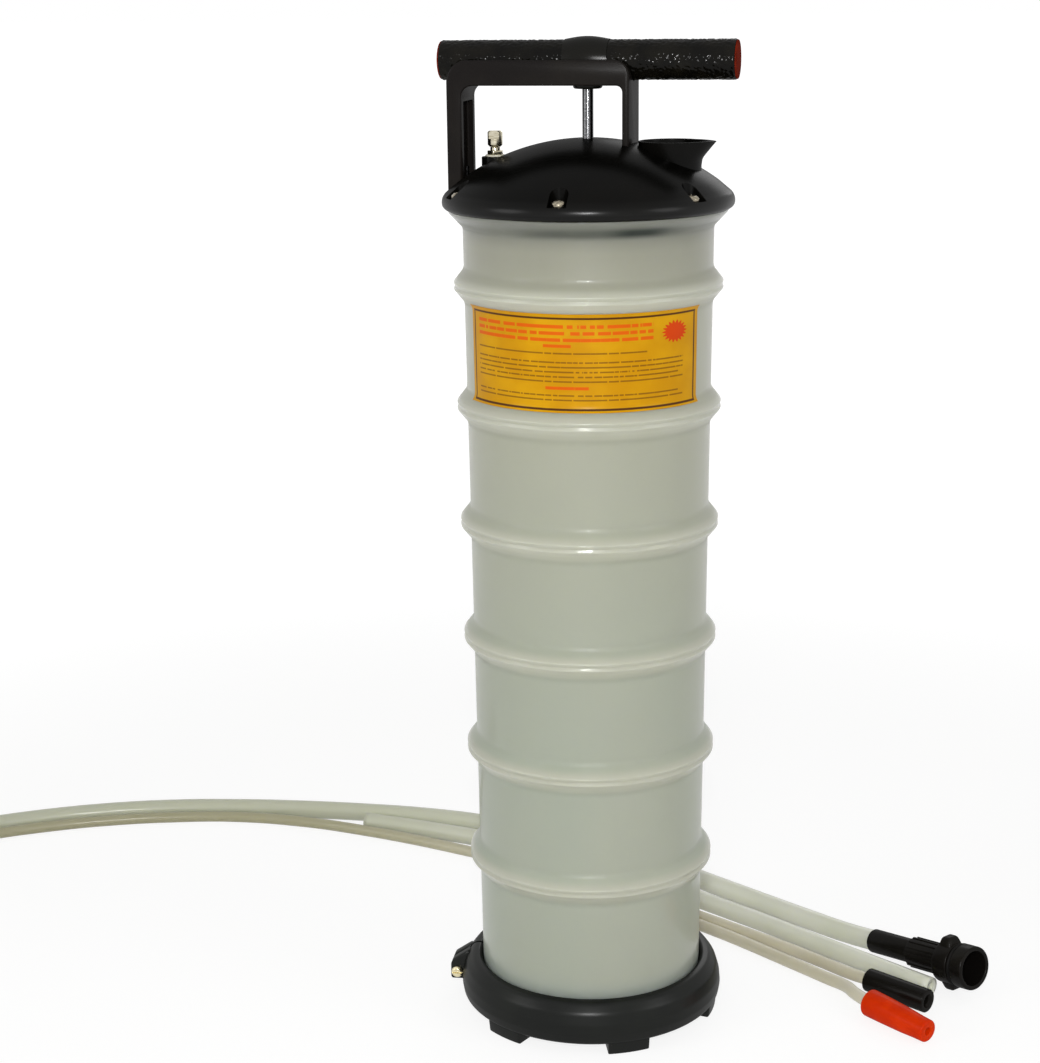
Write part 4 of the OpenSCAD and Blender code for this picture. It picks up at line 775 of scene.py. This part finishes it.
# Vent valve: a small nickel-plated brass valve screwed into the flat seat on the dome, on a white washer,
# with a knob that is flattened for the fingers.
at_vent = lid_turn @ shift(*seat, 0)
plated = turned_metal("plated_brass", paint(206, 200, 180), paint(168, 160, 136), 0.14, 300)
nylon = Finish("white_nylon", subsurface_weight=0.2, subsurface_radius=(0.002, 0.002, 0.0015),
               subsurface_scale=1.0)
nylon.colour(nylon.blend(nylon.noise(200, 2), paint(206, 202, 182), paint(226, 222, 205)))
nylon.rough(0.4 + nylon.noise(300, 2) * 0.15)
washer_shape = turned(rounded([
    (3.1, 530.95), (5.8, 530.95, 0.3), (5.8, 532, 0.3), (3.1, 532), (3.1, 530.95),
]), 48)
show("vent_washer_nylon", moved(washer_shape, at_vent), nylon, "extractor", "vent_washer")
vent_stem = turned(rounded([
    (0, 521), (3, 521, 0.4), (3, 533), (2.9, 533.5), (2.9, 536.4, 0.3), (1.6, 536.4), (1.6, 543.6),
    (0, 543.6),
]), 40)
vent_shape = joined(hexagon(9.6, 532.1, 534.5), vent_stem)
show("vent_body_plated", moved(vent_shape, at_vent), plated, "extractor", "vent_body", 35)
knob_blank = turned(rounded([
    (1.66, 536.6), (3.4, 536.6, 0.3), (4.4, 537.8, 0.5), (4.4, 545, 0.5), (3.6, 545.8, 0.4), (0, 545.8),
    (0, 544.2), (1.66, 544.2), (1.66, 536.6),
]), 48)
flats = [block((20, 10, 10), (0, y, 546.2)) for y in (8.17, -8.17)]
knob_shape = carved(knob_blank, *flats)
show("vent_knob_plated", moved(knob_shape, at_vent), plated, "vent", "vent_knob", 35)


# Pieces inside the tank and under the lid keep their turned and moulded shapes and get their own finishes:
# black mouldings, milky tubing, moulded rubber, felt, bright steel and an orange float.
rubber = black_moulding("moulded_rubber", paint(20, 20, 20), paint(34, 33, 31), 0.5, 0.1)
felt = Finish("felt", sheen_weight=0.3)
felt.colour(felt.blend(felt.noise(500, 4), paint(150, 143, 126), paint(182, 176, 158)))
felt.rough(0.85 + felt.noise(700, 2) * 0.1)
felt.relief(felt.noise(1500, 3), 0.0004, 0.8)
float_orange = red_moulding("float_orange", paint(226, 140, 52), paint(206, 120, 40), 0.4, 0.18)
inner_finishes = {
    black_nylon: ["rod_bush", "cylinder_cap", "float_cage", "piston"],
    milky: ["pump_cylinder", "intake_snorkel"],
    rubber: ["lid_gasket", "intake_valve", "piston_cup", "connector_oring"],
    felt: ["rod_wiper"],
    steel: ["handle_screws", "piston_washer", "piston_nuts", "handle_pin"],
    float_orange: ["float_ball"],
}
for finish, names in inner_finishes.items():
    for name in names:
        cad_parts[name].data.materials.clear()
        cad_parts[name].data.materials.append(finish.material)


# Studio: a pale floor that keeps a faint shadow, an even white surround, a soft light above the camera,
# one on each side, a weak one behind and a small bright one at the camera for the glints on the ribs.
floor_shape = bmesh.new()
bmesh.ops.create_grid(floor_shape, x_segments=1, y_segments=1, size=40)
floor_mesh = bpy.data.meshes.new("floor")
floor_shape.to_mesh(floor_mesh)
floor_shape.free()
floor = bpy.data.objects.new("floor", floor_mesh)
bpy.context.scene.collection.objects.link(floor)


def seen(nodes):
    """1 for what the camera sees, straight or in gloss or through something clear, and 0 for light."""
    rays = [nodes.add("LightPath", out=f"Is {kind} Ray") for kind in ("Camera", "Glossy", "Transmission")]
    return (rays[0] + rays[1] + rays[2]).math("MINIMUM", 1.0)


pale = Finish("pale_floor", base_color=(0.86, 0.86, 0.85, 1), roughness=0.9, specular_ior_level=0.0)
across, deep, _ = pale.axes()
far = (across * across + deep * deep).math("SQRT").rise(0.5, 1.6)
white_near, white_strength = 0.74, 1.12
white = pale.add("Emission", None, {"Color": (1, 1, 1, 1), "Strength": white_strength})
plain = Wire(pale, pale.shader.outputs[0])
white_share = white_near + far * (1 - white_near)
surface = pale.add("MixShader", None, {0: seen(pale) * white_share, 1: plain, 2: white})
pale.feed(pale.tree.nodes["Material Output"], {"Surface": surface})
floor_mesh.materials.append(pale.material)

world = bpy.data.worlds.new("surround")
world.use_nodes = True
bpy.context.scene.world = world
surround = Nodes(world.node_tree)
sky = world.node_tree.nodes["Background"]
sky_light = 0.36
surround.feed(sky, {"Color": (1, 1, 1, 1), "Strength": sky_light + seen(surround) * (1 - sky_light)})


def soft_light(name, at, aim, size, power):
    """A round area lamp that points at a spot."""
    lamp = bpy.data.lights.new(name, "AREA")
    lamp.shape, lamp.size, lamp.energy = "DISK", size, power
    light = bpy.data.objects.new(name, lamp)
    light.location = at
    light.rotation_euler = (Vector(aim) - Vector(at)).to_track_quat("-Z", "Y").to_euler()
    bpy.context.scene.collection.objects.link(light)


soft_light("key", (-0.1, -1.75, 0.9), (0, 0, 0.3), 0.4, 10)
soft_light("left", (-1.7, -0.8, 0.95), (0, 0, 0.35), 0.9, 5.5)
soft_light("right", (1.7, -0.9, 1.0), (0, 0, 0.35), 0.9, 5)
soft_light("back", (0.5, 1.9, 1.1), (0, 0, 0.3), 0.9, 4)
soft_light("glint", (0.0, -1.22, 0.75), (0, 0, 0.3), 0.04, 4)
